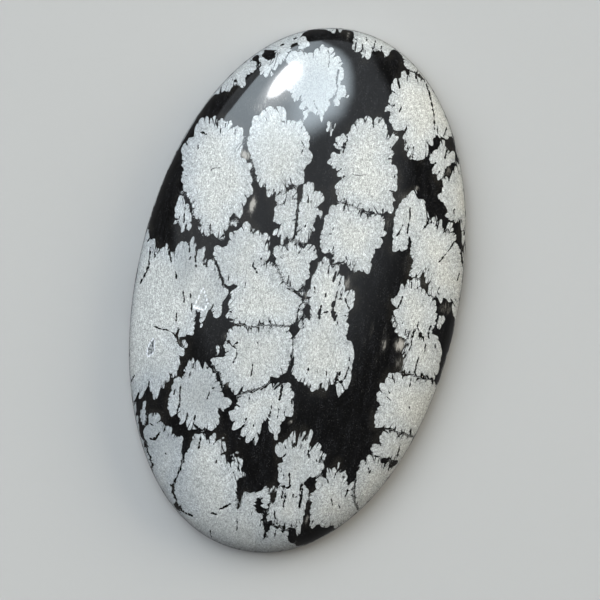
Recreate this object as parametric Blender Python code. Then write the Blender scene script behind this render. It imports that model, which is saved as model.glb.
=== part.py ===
"""A polished oval cabochon of snowflake obsidian: one solid stone, domed above and flat below.

Metres, +Z up. The origin is the centre of the flat back, which lies on Z = 0.
+Y runs along the stone's length and +X across its width.
"""

import math

import bmesh
import bpy

# Driving dimensions of the stone
LENGTH = 0.0450
WIDTH = 0.0273
HEIGHT = 0.0060

# The outline is an ellipse whose quarters are very slightly full
OUTLINE_FULLNESS = 2.07

# The edge of the flat back is bevelled at 45 degrees
BACK_BEVEL = 0.00045

# The section from the bevel up. 2 is an ellipse, and more gives a steeper wall and a flatter top
DOME_FULLNESS = 2.3
# 1 shrinks the level lines in proportion. More keeps the shoulder the same width all round
RIDGE_POWER = 1.8

OUTLINE_POINTS = 104
DOME_RINGS = 24

STONE_COLOUR = (0.25, 0.26, 0.265, 1.0)
POLISH_ROUGHNESS = 0.08
SHARP_EDGE_DEGREES = 30.0


def outline_ring(half_width, half_length, height):
    """The points of one level line, anticlockwise seen from above."""
    power = 2.0 / OUTLINE_FULLNESS
    ring = []
    for step in range(OUTLINE_POINTS):
        angle = 2.0 * math.pi * step / OUTLINE_POINTS
        across = math.cos(angle)
        along = math.sin(angle)
        x = half_width * math.copysign(abs(across) ** power, across)
        y = half_length * math.copysign(abs(along) ** power, along)
        ring.append((x, y, height))
    return ring


def back_ring():
    """The rim of the flat back, inside the bevel."""
    return outline_ring(WIDTH / 2.0 - BACK_BEVEL, LENGTH / 2.0 - BACK_BEVEL, 0.0)


def dome_rings():
    """The level lines from the widest one, at the bevel's top, up to just short of the top point."""
    half_width = WIDTH / 2.0
    half_length = LENGTH / 2.0
    power = 2.0 / DOME_FULLNESS
    rings = []
    for step in range(DOME_RINGS):
        turn = 0.5 * math.pi * step / DOME_RINGS
        inset_share = 1.0 - math.cos(turn) ** power
        height = BACK_BEVEL + (HEIGHT - BACK_BEVEL) * math.sin(turn) ** power
        inset = half_width * inset_share
        extra = (half_length - half_width) * inset_share**RIDGE_POWER
        rings.append(outline_ring(half_width - inset, half_length - inset - extra, height))
    return rings


def stone_mesh():
    """The whole stone as one closed mesh: rings of four-sided faces, a top fan and one flat back."""
    shape = bmesh.new()
    rings = [[shape.verts.new(point) for point in ring] for ring in [back_ring()] + dome_rings()]
    for lower, upper in zip(rings, rings[1:]):
        for step in range(OUTLINE_POINTS):
            after = (step + 1) % OUTLINE_POINTS
            shape.faces.new((lower[step], lower[after], upper[after], upper[step]))
    apex = shape.verts.new((0.0, 0.0, HEIGHT))
    last = rings[-1]
    for step in range(OUTLINE_POINTS):
        shape.faces.new((last[step], last[(step + 1) % OUTLINE_POINTS], apex))
    shape.faces.new(list(reversed(rings[0])))
    mesh = bpy.data.meshes.new("cabochon")
    shape.to_mesh(mesh)
    shape.free()
    mesh.shade_smooth()
    mesh.set_sharp_from_angle(angle=math.radians(SHARP_EDGE_DEGREES))
    return mesh


def obsidian():
    """Polished volcanic glass at the mean colour of its dark ground and pale flakes."""
    material = bpy.data.materials.new("obsidian")
    material.use_nodes = True
    shader = material.node_tree.nodes["Principled BSDF"]
    shader.inputs["Base Color"].default_value = STONE_COLOUR
    shader.inputs["Roughness"].default_value = POLISH_ROUGHNESS
    shader.inputs["Metallic"].default_value = 0.0
    return material


def main():
    for old in list(bpy.data.objects):
        bpy.data.objects.remove(old)
    stone = bpy.data.objects.new("cabochon", stone_mesh())
    stone.data.materials.append(obsidian())
    bpy.context.scene.collection.objects.link(stone)


main()
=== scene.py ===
"""The snowflake obsidian cabochon's looks: one polished stone on a pale table under soft studio light.

Lengths of the stone are in millimetres until its mesh is made, which is in metres.
The stone's own frame is used throughout: +Y along its length, +X across it, Z = 0 on its flat back.
"""

import math
import random

import bpy
import numpy as np
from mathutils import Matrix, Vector


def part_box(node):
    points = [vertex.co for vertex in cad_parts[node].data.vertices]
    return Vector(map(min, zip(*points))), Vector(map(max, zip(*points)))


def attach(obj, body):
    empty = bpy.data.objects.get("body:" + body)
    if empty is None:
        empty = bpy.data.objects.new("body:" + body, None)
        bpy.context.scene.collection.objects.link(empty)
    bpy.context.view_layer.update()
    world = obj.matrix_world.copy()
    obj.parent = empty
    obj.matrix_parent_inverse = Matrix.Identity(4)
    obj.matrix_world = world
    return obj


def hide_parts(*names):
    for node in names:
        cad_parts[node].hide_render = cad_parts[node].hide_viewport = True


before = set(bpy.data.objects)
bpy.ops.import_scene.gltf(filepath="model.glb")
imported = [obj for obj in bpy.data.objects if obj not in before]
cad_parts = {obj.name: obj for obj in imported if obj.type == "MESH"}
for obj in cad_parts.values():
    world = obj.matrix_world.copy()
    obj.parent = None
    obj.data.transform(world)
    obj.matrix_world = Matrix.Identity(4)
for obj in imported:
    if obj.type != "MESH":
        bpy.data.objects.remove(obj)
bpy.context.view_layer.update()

MM = 0.001

# Form of the stone, the same as its solid's. Its three sizes are read from the solid
OUTLINE_FULLNESS = 2.07
BACK_BEVEL = 0.45
DOME_FULLNESS = 2.3
RIDGE_POWER = 1.8

# Half the steps across and along of the grid that is bent over the dome, and of the flat back's coarser
# grid, which must divide them both by the same whole number
DOME_STEPS = (111, 180)
BACK_STEPS = (37, 60)
# How many turns the section is measured at
SECTION_SAMPLES = 2000
# The bevel's rings as (inset, height), softened at both edges
BEVEL_RINGS = ((0.02, 0.40), (0.06, 0.355), (0.37, 0.045), (0.42, 0.012), (0.50, 0.0))
BACK_RIM_INSET = 0.75

# Where the two parts of the surface lie on the UV map, as (centre u, centre v, half u, half v)
DOME_MAP = (0.325, 0.5, 0.315, 0.49)
BACK_MAP = (0.825, 0.5, 0.165, 0.44)

# Growth is the distance inside a flake's edge, and less than 0 outside it. It is followed this far outside
REACH = 1.6

# The pale flakes, as read off. Each is an outline in millimetres, x across and y along the stone.
FLAKES = (
    # upper left rim
    ((-10.6, 14.8), (-10.0, 14.9), (-9.7, 15.2), (-9.2, 15.1), (-9.0, 15.6), (-9.0, 16.1), (-8.6, 15.8),
     (-8.2, 15.7), (-8.1, 16.2), (-8.2, 16.9), (-7.7, 17.2), (-7.4, 17.7), (-7.6, 18.1), (-8.0, 18.2),
     (-8.3, 18.9), (-9.6, 17.6), (-11.0, 15.6)),
    ((-7.05, 17.15), (-7.1, 17.6), (-7.25, 17.95), (-7.2, 18.25), (-7.45, 18.5), (-7.65, 18.85),
     (-8.3, 19.2), (-6.4, 21.4), (-4.6, 22.2), (-4.2, 21.6), (-4.35, 21.1), (-4.0, 21.05), (-3.7, 20.8),
     (-3.5, 20.5), (-3.7, 20.2), (-4.0, 20.05), (-4.35, 19.97), (-4.65, 19.85), (-5.0, 19.7), (-5.2, 19.2),
     (-5.3, 18.8), (-5.65, 18.35), (-5.85, 17.9), (-5.95, 17.4), (-6.1, 17.15), (-6.5, 17.1),
     (-6.75, 17.3)),
    # top rim
    ((-2.4, 22.3), (-1.9, 21.8), (-1.55, 21.9), (-1.5, 22.3), (-1.2, 21.8), (-0.95, 22.4), (-0.9, 23.1),
     (-2.4, 22.9)),
    ((0.0, 23.2), (0.0, 21.8), (0.1, 21.0), (0.5, 20.75), (0.85, 20.8), (1.1, 20.4), (1.3, 20.8),
     (1.6, 20.4), (1.85, 20.6), (2.0, 21.1), (2.35, 21.3), (2.6, 21.2), (2.75, 21.3), (3.0, 20.8),
     (3.2, 21.2), (3.5, 21.5), (3.7, 21.8), (3.2, 22.8)),
    ((4.6, 20.9), (4.9, 20.4), (5.4, 20.2), (5.9, 20.2), (6.6, 19.8), (7.1, 20.2), (5.2, 21.7),
     (4.5, 21.6)),
    # under the lamp's highlight
    ((-4.45, 16.35), (-4.35, 17.0), (-4.3, 17.8), (-4.6, 18.5), (-5.15, 18.85), (-5.05, 19.3),
     (-4.95, 19.65), (-4.6, 19.75), (-4.3, 19.9), (-4.0, 19.95), (-3.7, 19.8), (-3.4, 19.75), (-3.1, 19.9),
     (-2.95, 20.25), (-2.6, 20.5), (-2.4, 20.8), (-1.6, 20.7), (-1.0, 20.2), (-0.5, 19.9), (-0.3, 19.1),
     (0.0, 19.0), (0.0, 18.6), (-0.1, 17.9), (0.2, 18.0), (0.4, 17.6), (0.5, 17.0), (0.7, 17.1),
     (0.6, 16.8), (0.2, 16.8), (0.0, 16.6), (0.0, 16.0), (-0.3, 15.9), (-0.5, 16.5), (-0.7, 16.2),
     (-0.85, 15.5), (-0.9, 14.8), (-1.1, 14.3), (-1.4, 14.8), (-1.9, 14.7), (-2.3, 14.9), (-2.6, 14.2),
     (-2.75, 15.0), (-3.2, 15.2), (-3.3, 15.9), (-3.6, 15.5), (-4.0, 16.05)),
    ((-0.5, 14.5), (-0.3, 14.5), (-0.25, 13.8), (-0.4, 13.65), (-0.5, 14.0)),
    ((-0.05, 14.5), (0.1, 14.5), (0.1, 13.5), (-0.1, 13.4), (-0.1, 14.0)),
    # upper left, three large ones
    ((-11.3, 12.0), (-11.0, 12.5), (-10.7, 12.8), (-10.35, 12.6), (-9.95, 12.95), (-9.7, 12.5),
     (-9.35, 13.0), (-8.95, 12.5), (-8.65, 12.85), (-8.3, 12.5), (-7.9, 12.6), (-7.5, 12.3), (-7.2, 11.8),
     (-7.15, 11.1), (-7.3, 10.5), (-7.0, 10.0), (-6.6, 9.7), (-6.2, 9.7), (-6.05, 9.4), (-5.95, 8.8),
     (-5.7, 8.2), (-5.55, 7.6), (-5.5, 7.1), (-5.85, 6.7), (-5.95, 6.2), (-5.95, 5.3), (-6.1, 4.6),
     (-6.35, 4.9), (-6.6, 4.7), (-6.7, 5.1), (-6.9, 4.4), (-7.0, 3.8), (-7.2, 3.1), (-7.5, 2.85),
     (-7.9, 2.95), (-8.25, 3.1), (-8.5, 2.8), (-8.85, 2.8), (-9.1, 3.2), (-9.4, 3.5), (-9.5, 4.0),
     (-9.9, 4.2), (-10.1, 4.6), (-10.3, 5.3), (-10.6, 5.6), (-10.95, 6.0), (-11.4, 6.1), (-11.55, 6.8),
     (-11.65, 7.6), (-11.55, 8.0), (-11.85, 8.2), (-11.9, 8.9), (-12.1, 9.4), (-12.2, 9.9), (-11.95, 10.2),
     (-11.85, 10.7), (-11.5, 10.8), (-11.4, 11.4)),
    ((-11.45, 5.9), (-11.65, 5.3), (-11.65, 4.8), (-11.5, 4.1), (-11.3, 3.65), (-11.5, 3.2), (-11.3, 3.1),
     (-11.1, 3.5), (-10.9, 3.0), (-10.75, 2.65), (-10.4, 2.95), (-10.1, 2.75), (-10.0, 3.4), (-10.1, 4.2),
     (-10.3, 4.8), (-10.45, 5.2), (-10.9, 5.1), (-11.1, 5.7)),
    ((-6.85, 13.5), (-6.8, 12.5), (-6.85, 11.7), (-6.75, 10.9), (-6.4, 10.6), (-6.25, 10.1), (-5.9, 9.7),
     (-5.6, 9.1), (-5.4, 8.4), (-5.05, 8.1), (-4.85, 7.8), (-4.6, 8.0), (-4.45, 7.5), (-4.2, 7.25),
     (-3.9, 7.35), (-3.75, 7.7), (-3.4, 7.5), (-3.2, 8.0), (-2.9, 7.95), (-2.7, 8.2), (-2.5, 8.8),
     (-2.2, 8.75), (-1.9, 8.65), (-1.5, 9.0), (-1.5, 9.5), (-1.65, 10.0), (-1.7, 10.5), (-1.3, 10.7),
     (-1.1, 11.1), (-1.35, 11.5), (-1.6, 11.9), (-1.7, 12.4), (-1.8, 12.9), (-2.0, 13.3), (-2.4, 13.5),
     (-2.6, 14.0), (-2.9, 14.2), (-3.3, 13.9), (-3.9, 13.9), (-4.1, 14.5), (-4.6, 14.9), (-5.0, 14.8),
     (-5.5, 14.8), (-6.0, 14.4), (-6.3, 13.9), (-6.65, 13.7)),
    # the pair with a dark seam between them, and the small one beside it
    ((-3.45, 7.4), (-3.2, 7.85), (-2.85, 7.9), (-2.65, 7.55), (-2.7, 7.1), (-2.85, 6.85), (-3.2, 6.8),
     (-3.45, 7.0)),
    ((-2.0, 8.5), (-2.3, 8.35), (-2.6, 8.0), (-2.6, 7.0), (-2.9, 6.7), (-3.2, 6.6), (-3.5, 6.3),
     (-3.4, 5.8), (-3.3, 5.3), (-2.9, 5.2), (-2.65, 5.15), (-2.65, 4.8), (-3.0, 4.5), (-3.0, 4.2),
     (-2.6, 4.05), (-2.35, 4.1), (-2.2, 3.6), (-2.0, 3.45), (-1.9, 3.9), (-1.8, 4.3), (-1.5, 4.05),
     (-1.4, 4.6), (-1.3, 5.1), (-1.3, 5.5), (-1.5, 5.8), (-1.55, 6.6), (-1.6, 7.2), (-1.8, 7.6),
     (-1.85, 8.1)),
    ((-1.4, 8.8), (-1.1, 9.1), (-0.65, 9.1), (-0.5, 8.8), (-0.4, 8.4), (0.0, 8.65), (0.35, 8.4),
     (0.55, 7.9), (0.3, 7.6), (0.15, 7.2), (0.6, 7.05), (0.7, 6.6), (0.6, 6.2), (0.35, 6.5), (0.25, 6.0),
     (0.1, 5.6), (0.4, 5.4), (0.35, 5.15), (0.05, 5.2), (0.1, 4.7), (-0.1, 4.2), (-0.4, 4.1), (-0.8, 4.1),
     (-1.1, 4.2), (-1.15, 5.0), (-1.2, 5.7), (-1.3, 6.6), (-1.35, 7.4), (-1.4, 8.1)),
    # upper middle, large, with its satellites on the left
    ((1.4, 14.0), (1.65, 14.8), (1.8, 15.2), (2.3, 15.4), (2.6, 15.8), (3.0, 15.7), (3.2, 15.5),
     (3.5, 15.8), (3.9, 15.9), (4.2, 15.7), (4.45, 15.2), (4.6, 14.6), (4.8, 14.4), (5.0, 14.8),
     (5.3, 14.7), (5.5, 14.5), (5.4, 14.0), (5.25, 13.6), (5.5, 13.1), (5.3, 12.6), (5.6, 12.3),
     (5.95, 12.2), (6.1, 11.6), (6.3, 11.1), (6.35, 10.5), (6.3, 10.1), (6.15, 9.8), (6.3, 9.5),
     (6.5, 9.2), (6.25, 8.85), (6.45, 8.5), (6.35, 8.1), (6.1, 8.0), (5.9, 8.3), (5.75, 8.05), (5.4, 7.85),
     (4.9, 7.8), (4.0, 7.75), (3.4, 7.95), (2.9, 8.05), (2.4, 8.2), (2.0, 8.1), (1.7, 8.25), (1.5, 8.5),
     (1.3, 8.9), (1.25, 9.3), (1.4, 9.7), (1.55, 10.1), (1.2, 10.2), (1.15, 10.6), (0.9, 10.7),
     (0.6, 10.8), (0.4, 11.0), (0.15, 11.1), (0.35, 11.5), (0.3, 11.9), (0.5, 12.3), (0.7, 12.0),
     (1.0, 12.0), (1.1, 12.7), (0.9, 12.45), (0.6, 12.5), (0.3, 12.6), (0.45, 12.9), (0.4, 13.3),
     (0.7, 13.6), (1.0, 13.85), (1.3, 13.6)),
    # its lower neighbour across the thin seam
    ((1.15, 7.7), (1.4, 7.9), (2.0, 7.95), (2.5, 7.95), (3.4, 7.85), (4.0, 7.6), (4.8, 7.65), (5.6, 7.7),
     (5.85, 7.5), (6.0, 7.1), (6.05, 6.6), (6.35, 6.4), (6.3, 6.0), (6.0, 5.9), (6.15, 5.4), (6.0, 5.0),
     (5.7, 4.8), (5.6, 4.3), (5.6, 3.6), (5.75, 3.1), (5.5, 2.7), (5.2, 2.8), (4.9, 2.8), (4.7, 3.0),
     (4.6, 2.6), (4.4, 2.2), (4.2, 2.8), (4.0, 2.6), (3.8, 3.0), (3.2, 2.95), (2.8, 2.9), (2.5, 2.85),
     (2.3, 3.1), (2.2, 3.5), (1.9, 3.8), (1.6, 3.6), (1.3, 3.7), (1.0, 4.0), (1.0, 4.6), (0.95, 5.1),
     (0.85, 5.4), (1.0, 5.9), (0.95, 6.4), (1.05, 6.9)),
    # upper right
    ((4.6, 20.0), (4.5, 19.4), (4.25, 19.3), (4.1, 18.8), (4.2, 18.2), (4.0, 17.7), (4.15, 17.1),
     (3.8, 16.8), (4.0, 16.4), (4.4, 16.5), (4.5, 15.9), (4.7, 15.4), (5.0, 15.1), (5.4, 15.0),
     (5.85, 15.1), (5.95, 14.5), (6.1, 14.0), (6.3, 13.6), (6.5, 13.8), (6.65, 13.2), (6.9, 12.75),
     (7.1, 13.1), (7.4, 12.95), (7.7, 12.9), (8.1, 13.2), (8.3, 13.5), (8.3, 14.0), (8.2, 14.4),
     (8.5, 14.5), (8.6, 15.1), (8.7, 15.6), (9.0, 15.2), (9.3, 15.35), (9.6, 15.3), (10.0, 15.7),
     (11.0, 16.2), (8.6, 19.4), (7.3, 20.3), (6.7, 19.7), (6.1, 19.8), (5.8, 20.1), (5.4, 20.2),
     (5.2, 19.8), (4.9, 20.1)),
    ((9.2, 15.0), (9.5, 15.1), (9.7, 14.6), (9.9, 14.2), (10.3, 14.35), (10.6, 14.0), (10.7, 13.5),
     (10.4, 13.2), (10.1, 13.0), (10.0, 12.3), (9.9, 11.9), (9.6, 11.6), (9.4, 12.0), (9.0, 12.0),
     (8.9, 12.4), (9.0, 12.9), (8.7, 12.8), (8.6, 13.2), (8.6, 13.7), (8.9, 14.1), (9.1, 14.5)),
    # right rim
    ((10.2, 12.2), (10.5, 12.05), (10.7, 12.4), (10.75, 13.0), (10.9, 13.5), (11.3, 13.0), (12.2, 13.4),
     (14.0, 9.5), (14.2, 5.0), (13.2, 5.6), (12.95, 6.3), (12.7, 7.0), (12.55, 7.9), (12.3, 8.2),
     (12.15, 8.7), (11.9, 8.5), (11.6, 8.6), (11.2, 8.65), (10.9, 8.9), (10.85, 9.4), (10.6, 9.7),
     (10.5, 10.2), (10.4, 10.0), (10.1, 10.0), (9.95, 10.4), (10.2, 10.8), (10.2, 11.4), (10.0, 11.8)),
    # right, a group of three under it
    ((6.85, 9.0), (7.05, 9.4), (7.3, 9.8), (7.6, 10.1), (7.9, 10.5), (8.1, 10.3), (8.25, 9.85),
     (8.7, 9.85), (9.05, 9.6), (9.15, 9.1), (9.35, 8.7), (9.55, 8.3), (9.75, 8.3), (10.05, 8.7),
     (10.3, 8.3), (10.6, 8.5), (10.85, 8.0), (11.0, 7.6), (11.25, 7.7), (11.3, 8.3), (11.6, 8.35),
     (11.8, 7.8), (12.1, 7.4), (12.2, 6.7), (12.5, 6.6), (12.9, 5.9), (13.2, 5.0), (14.2, 4.9),
     (14.3, 0.5), (13.4, 0.7), (13.2, 1.4), (13.1, 2.1), (12.7, 1.8), (12.3, 2.0), (12.1, 1.6),
     (11.8, 2.0), (11.3, 2.0), (10.9, 2.1), (10.8, 2.6), (10.5, 3.0), (10.3, 3.6), (10.2, 4.0),
     (10.05, 3.6), (10.0, 3.2), (9.6, 3.3), (9.3, 3.2), (9.0, 3.3), (8.95, 4.0), (9.05, 4.4), (8.9, 5.0),
     (8.6, 4.9), (8.6, 5.5), (8.5, 6.2), (8.35, 6.5), (8.3, 5.4), (8.1, 5.1), (7.9, 5.0), (7.7, 5.2),
     (7.4, 4.85), (7.1, 4.9), (7.0, 5.5), (7.05, 6.0), (6.85, 6.3), (6.75, 6.9), (6.85, 7.2), (6.7, 7.5),
     (6.75, 8.3)),
    # right middle
    ((8.35, 2.0), (8.5, 2.4), (8.75, 2.4), (8.95, 2.95), (9.3, 2.7), (9.5, 3.1), (9.85, 3.1), (10.0, 2.5),
     (10.4, 2.35), (10.8, 2.0), (11.2, 1.9), (11.5, 1.7), (11.8, 1.0), (11.95, 0.5), (12.05, -0.2),
     (11.85, -0.6), (12.0, -1.2), (12.4, -1.3), (12.7, -1.6), (13.0, -2.1), (13.05, -2.8), (13.15, -3.3),
     (13.05, -4.2), (12.9, -4.92), (12.3, -4.95), (12.0, -5.02), (11.7, -4.85), (11.35, -4.95),
     (10.95, -4.85), (10.4, -4.9), (10.2, -5.1), (10.05, -4.85), (10.2, -4.2), (10.05, -3.7), (9.85, -3.3),
     (9.95, -2.8), (9.85, -2.1), (9.5, -1.95), (9.1, -1.8), (8.85, -1.6), (8.9, -1.0), (8.75, -0.7),
     (8.45, -0.4), (8.35, 0.0), (8.6, 0.3), (8.3, 0.45), (8.0, 0.6), (7.9, 0.95), (8.15, 1.3)),
    ((8.35, -0.5), (8.5, -0.6), (8.45, -1.0), (8.3, -0.9)),
    ((8.6, -0.85), (8.8, -1.0), (8.75, -1.4), (8.55, -1.2)),
    ((12.25, 0.5), (12.5, 0.6), (12.7, 0.3), (12.6, -0.4), (12.45, -0.7), (12.2, -0.3)),
    # lower right rim
    ((9.6, -4.95), (9.4, -5.3), (9.1, -5.2), (8.95, -5.7), (8.9, -6.1), (8.6, -6.2), (8.65, -6.8),
     (8.45, -7.2), (8.55, -7.7), (8.9, -7.9), (9.1, -8.0), (8.75, -8.25), (8.7, -8.8), (8.8, -9.4),
     (8.9, -9.9), (9.4, -9.8), (9.9, -9.7), (10.6, -9.8), (11.2, -9.85), (12.0, -9.9), (12.8, -9.8),
     (13.8, -8.5), (14.0, -5.0), (13.2, -5.2), (12.7, -5.0), (12.1, -5.12), (11.4, -4.98), (10.8, -4.95),
     (10.35, -5.05), (10.2, -5.25), (10.0, -4.95)),
    ((9.8, -9.95), (9.6, -10.3), (9.5, -10.7), (9.55, -11.1), (9.1, -11.1), (8.87, -11.35), (8.95, -11.75),
     (9.2, -12.0), (9.35, -12.3), (9.6, -12.4), (9.75, -12.25), (9.95, -12.3), (10.12, -12.3),
     (10.3, -12.15), (10.42, -12.4), (10.6, -12.2), (10.8, -12.38), (11.05, -12.42), (11.25, -12.25),
     (11.7, -12.2), (12.6, -11.5), (13.0, -10.2), (12.0, -10.1), (11.0, -10.05)),
    ((8.4, -13.0), (8.55, -12.8), (8.72, -12.55), (8.95, -12.35), (9.15, -12.42), (9.28, -12.7),
     (9.38, -12.3), (9.6, -12.2), (9.82, -12.35), (9.98, -12.62), (10.15, -12.75), (10.35, -12.78),
     (10.45, -12.85), (10.52, -12.6), (10.65, -12.52), (10.8, -12.7), (10.95, -12.85), (11.15, -12.7),
     (11.4, -12.6), (11.8, -12.8), (11.2, -14.0), (10.0, -16.4), (9.2, -17.0), (8.75, -16.6), (8.5, -16.2),
     (8.3, -15.5), (8.3, -14.8), (8.2, -14.2), (8.3, -13.5)),
    ((5.0, -15.2), (5.3, -15.0), (5.7, -15.0), (5.95, -15.2), (5.8, -14.7), (5.75, -14.15), (6.0, -14.3),
     (6.3, -14.1), (6.45, -14.5), (6.5, -13.5), (6.65, -13.5), (6.7, -14.1), (7.0, -14.0), (7.25, -13.95),
     (7.45, -14.4), (7.65, -14.9), (7.8, -15.6), (7.95, -15.0), (8.1, -14.85), (8.2, -15.5), (8.3, -16.2),
     (8.55, -16.7), (9.1, -17.3), (8.6, -18.3), (7.6, -19.1), (7.0, -18.9), (6.5, -19.1), (6.2, -19.1),
     (5.9, -18.9), (5.7, -19.1), (5.55, -19.4), (5.3, -19.3), (5.2, -18.7), (5.1, -17.9), (5.05, -17.3),
     (4.8, -17.1), (4.8, -16.6), (5.15, -16.5), (5.05, -15.9)),
    # left rim, large, reaching far into the stone
    ((-14.4, 2.4), (-13.4, 2.3), (-13.2, 1.6), (-13.0, 1.7), (-12.7, 1.7), (-12.5, 1.1), (-12.2, 0.9),
     (-12.0, 1.1), (-11.75, 1.6), (-11.5, 1.1), (-11.3, 0.7), (-11.0, 0.9), (-10.8, 1.3), (-10.6, 1.8),
     (-10.2, 2.0), (-9.9, 1.9), (-9.75, 1.9), (-9.6, 2.5), (-9.3, 2.3), (-9.15, 1.9), (-9.0, 1.6),
     (-8.8, 1.6), (-8.6, 2.1), (-8.35, 1.9), (-8.2, 1.0), (-8.0, 0.8), (-7.8, 1.0), (-7.5, 0.95),
     (-7.2, 0.7), (-7.0, 0.3), (-6.8, -0.1), (-6.5, -0.6), (-6.2, -1.0), (-5.85, -1.2), (-5.75, -1.5),
     (-5.85, -2.1), (-5.95, -2.6), (-5.8, -3.0), (-5.9, -3.5), (-6.2, -3.8), (-6.5, -3.7), (-6.6, -3.3),
     (-6.8, -3.1), (-7.1, -3.2), (-7.1, -3.8), (-7.35, -4.8), (-7.5, -4.2), (-7.5, -3.6), (-7.9, -3.7),
     (-8.0, -4.3), (-7.9, -5.0), (-7.9, -5.6), (-8.3, -5.6), (-8.5, -5.9), (-8.9, -5.9), (-9.0, -6.4),
     (-8.8, -6.9), (-8.4, -6.85), (-8.15, -7.2), (-8.45, -7.6), (-8.5, -8.1), (-8.4, -8.7), (-8.5, -9.3),
     (-8.9, -9.5), (-9.1, -9.9), (-9.3, -10.0), (-9.35, -10.5), (-9.6, -10.9), (-9.8, -11.7),
     (-10.1, -11.3), (-10.35, -11.0), (-10.55, -10.7), (-10.7, -11.2), (-10.9, -11.7), (-11.15, -11.8),
     (-11.35, -11.3), (-11.35, -12.0), (-11.15, -12.8), (-10.9, -13.6), (-10.7, -14.3), (-11.4, -15.2),
     (-13.4, -12.6), (-14.4, -6.0)),
    ((-8.6, -6.3), (-8.35, -6.2), (-8.15, -6.4), (-8.2, -6.75), (-8.5, -6.8)),
    # lower left
    ((-10.85, -12.0), (-10.6, -12.0), (-10.45, -12.7), (-10.3, -13.3), (-10.3, -13.9), (-10.45, -14.0),
     (-10.65, -13.4), (-10.8, -12.8)),
    ((-10.15, -13.2), (-10.1, -12.95), (-9.7, -12.7), (-9.4, -12.7), (-9.05, -12.95), (-9.0, -13.3),
     (-8.7, -13.4), (-8.45, -13.6), (-8.1, -13.5), (-7.9, -13.8), (-7.85, -14.1), (-7.4, -14.3),
     (-7.0, -14.1), (-6.8, -14.4), (-6.7, -14.9), (-6.65, -15.5), (-6.5, -16.3), (-6.5, -17.1),
     (-6.7, -18.0), (-6.8, -18.8), (-6.2, -19.6), (-6.8, -20.8), (-9.0, -18.6), (-8.8, -17.0),
     (-9.2, -16.3), (-9.6, -15.5), (-10.0, -15.0), (-10.2, -14.5), (-10.1, -13.8)),
    ((-10.8, -14.8), (-10.0, -15.3), (-9.4, -16.3), (-8.9, -17.2), (-9.2, -18.4), (-10.8, -16.6)),
    ((-8.55, -9.6), (-8.3, -9.4), (-7.9, -9.4), (-7.85, -8.9), (-7.9, -8.5), (-7.7, -8.0), (-7.5, -7.5),
     (-7.3, -7.4), (-7.2, -7.8), (-7.0, -7.4), (-6.75, -7.7), (-6.6, -8.1), (-6.45, -7.4), (-6.2, -7.6),
     (-6.0, -7.8), (-5.7, -7.8), (-5.5, -8.3), (-5.2, -8.3), (-5.0, -8.9), (-4.7, -9.1), (-4.5, -9.4),
     (-4.5, -9.8), (-4.2, -10.1), (-3.8, -10.1), (-3.5, -10.4), (-3.5, -10.8), (-3.8, -11.0),
     (-3.9, -11.4), (-4.3, -11.2), (-4.6, -11.4), (-4.4, -11.7), (-4.15, -11.9), (-4.1, -12.4),
     (-4.25, -12.9), (-4.6, -13.1), (-5.0, -13.1), (-5.4, -13.3), (-6.0, -13.3), (-6.3, -13.4),
     (-6.5, -13.5), (-6.7, -13.1), (-6.9, -12.7), (-7.05, -13.0), (-7.3, -13.2), (-7.5, -12.8),
     (-7.7, -12.3), (-7.9, -12.5), (-8.05, -12.9), (-8.3, -12.5), (-8.6, -12.1), (-8.7, -11.5),
     (-8.6, -10.8), (-8.7, -10.2)),
    ((-6.1, -14.1), (-5.9, -13.8), (-5.5, -13.8), (-5.3, -13.5), (-5.0, -13.5), (-4.75, -13.9),
     (-4.5, -13.6), (-4.25, -13.4), (-4.05, -14.0), (-3.8, -13.9), (-3.45, -13.5), (-3.25, -14.0),
     (-3.05, -14.6), (-3.2, -14.95), (-2.95, -14.95), (-2.82, -15.2), (-2.75, -15.48), (-2.5, -15.6),
     (-2.48, -16.02), (-2.27, -16.0), (-2.32, -15.5), (-2.2, -15.3), (-2.45, -15.1), (-2.55, -14.85),
     (-2.45, -14.6), (-2.25, -14.4), (-2.0, -14.42), (-1.95, -14.6), (-2.1, -14.8), (-1.85, -14.9),
     (-1.75, -15.15), (-1.6, -15.0), (-1.35, -15.1), (-1.4, -15.3), (-1.2, -15.45), (-1.28, -15.65),
     (-1.5, -15.68), (-1.5, -15.9), (-1.35, -16.02), (-1.1, -16.0), (-0.93, -16.2), (-0.97, -16.42),
     (-1.15, -16.6), (-1.35, -16.55), (-1.45, -16.7), (-1.62, -16.58), (-1.6, -16.9), (-1.42, -17.2),
     (-1.4, -17.9), (-1.25, -18.4), (-1.05, -18.6), (-0.9, -18.85), (-0.7, -18.8), (-0.82, -18.3),
     (-0.75, -17.7), (-0.4, -17.7), (0.0, -17.5), (0.4, -17.4), (0.7, -17.3), (0.75, -17.0), (0.95, -16.8),
     (1.2, -17.0), (1.35, -17.45), (1.52, -17.62), (1.48, -18.0), (1.5, -18.3), (1.45, -18.85),
     (1.25, -19.1), (1.4, -19.6), (1.6, -20.1), (1.7, -20.8), (1.85, -20.9), (1.9, -20.3), (2.1, -20.02),
     (2.45, -20.1), (2.58, -20.32), (2.75, -20.05), (3.05, -20.08), (3.15, -20.32), (3.35, -20.15),
     (3.6, -20.15), (3.66, -20.5), (3.7, -20.9), (4.0, -21.1), (4.4, -21.0), (4.8, -21.4), (3.6, -22.6),
     (0.0, -23.4), (-4.0, -22.6), (-6.2, -21.4), (-5.6, -20.4), (-6.1, -19.6), (-6.6, -18.9),
     (-6.6, -18.0), (-6.45, -17.0), (-6.35, -15.9), (-6.1, -15.2)),
    # middle left, and the two large ones in the middle of the stone
    ((-7.6, 2.0), (-7.4, 2.3), (-7.0, 2.2), (-6.7, 2.4), (-6.5, 2.9), (-6.6, 3.5), (-6.2, 3.8),
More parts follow.
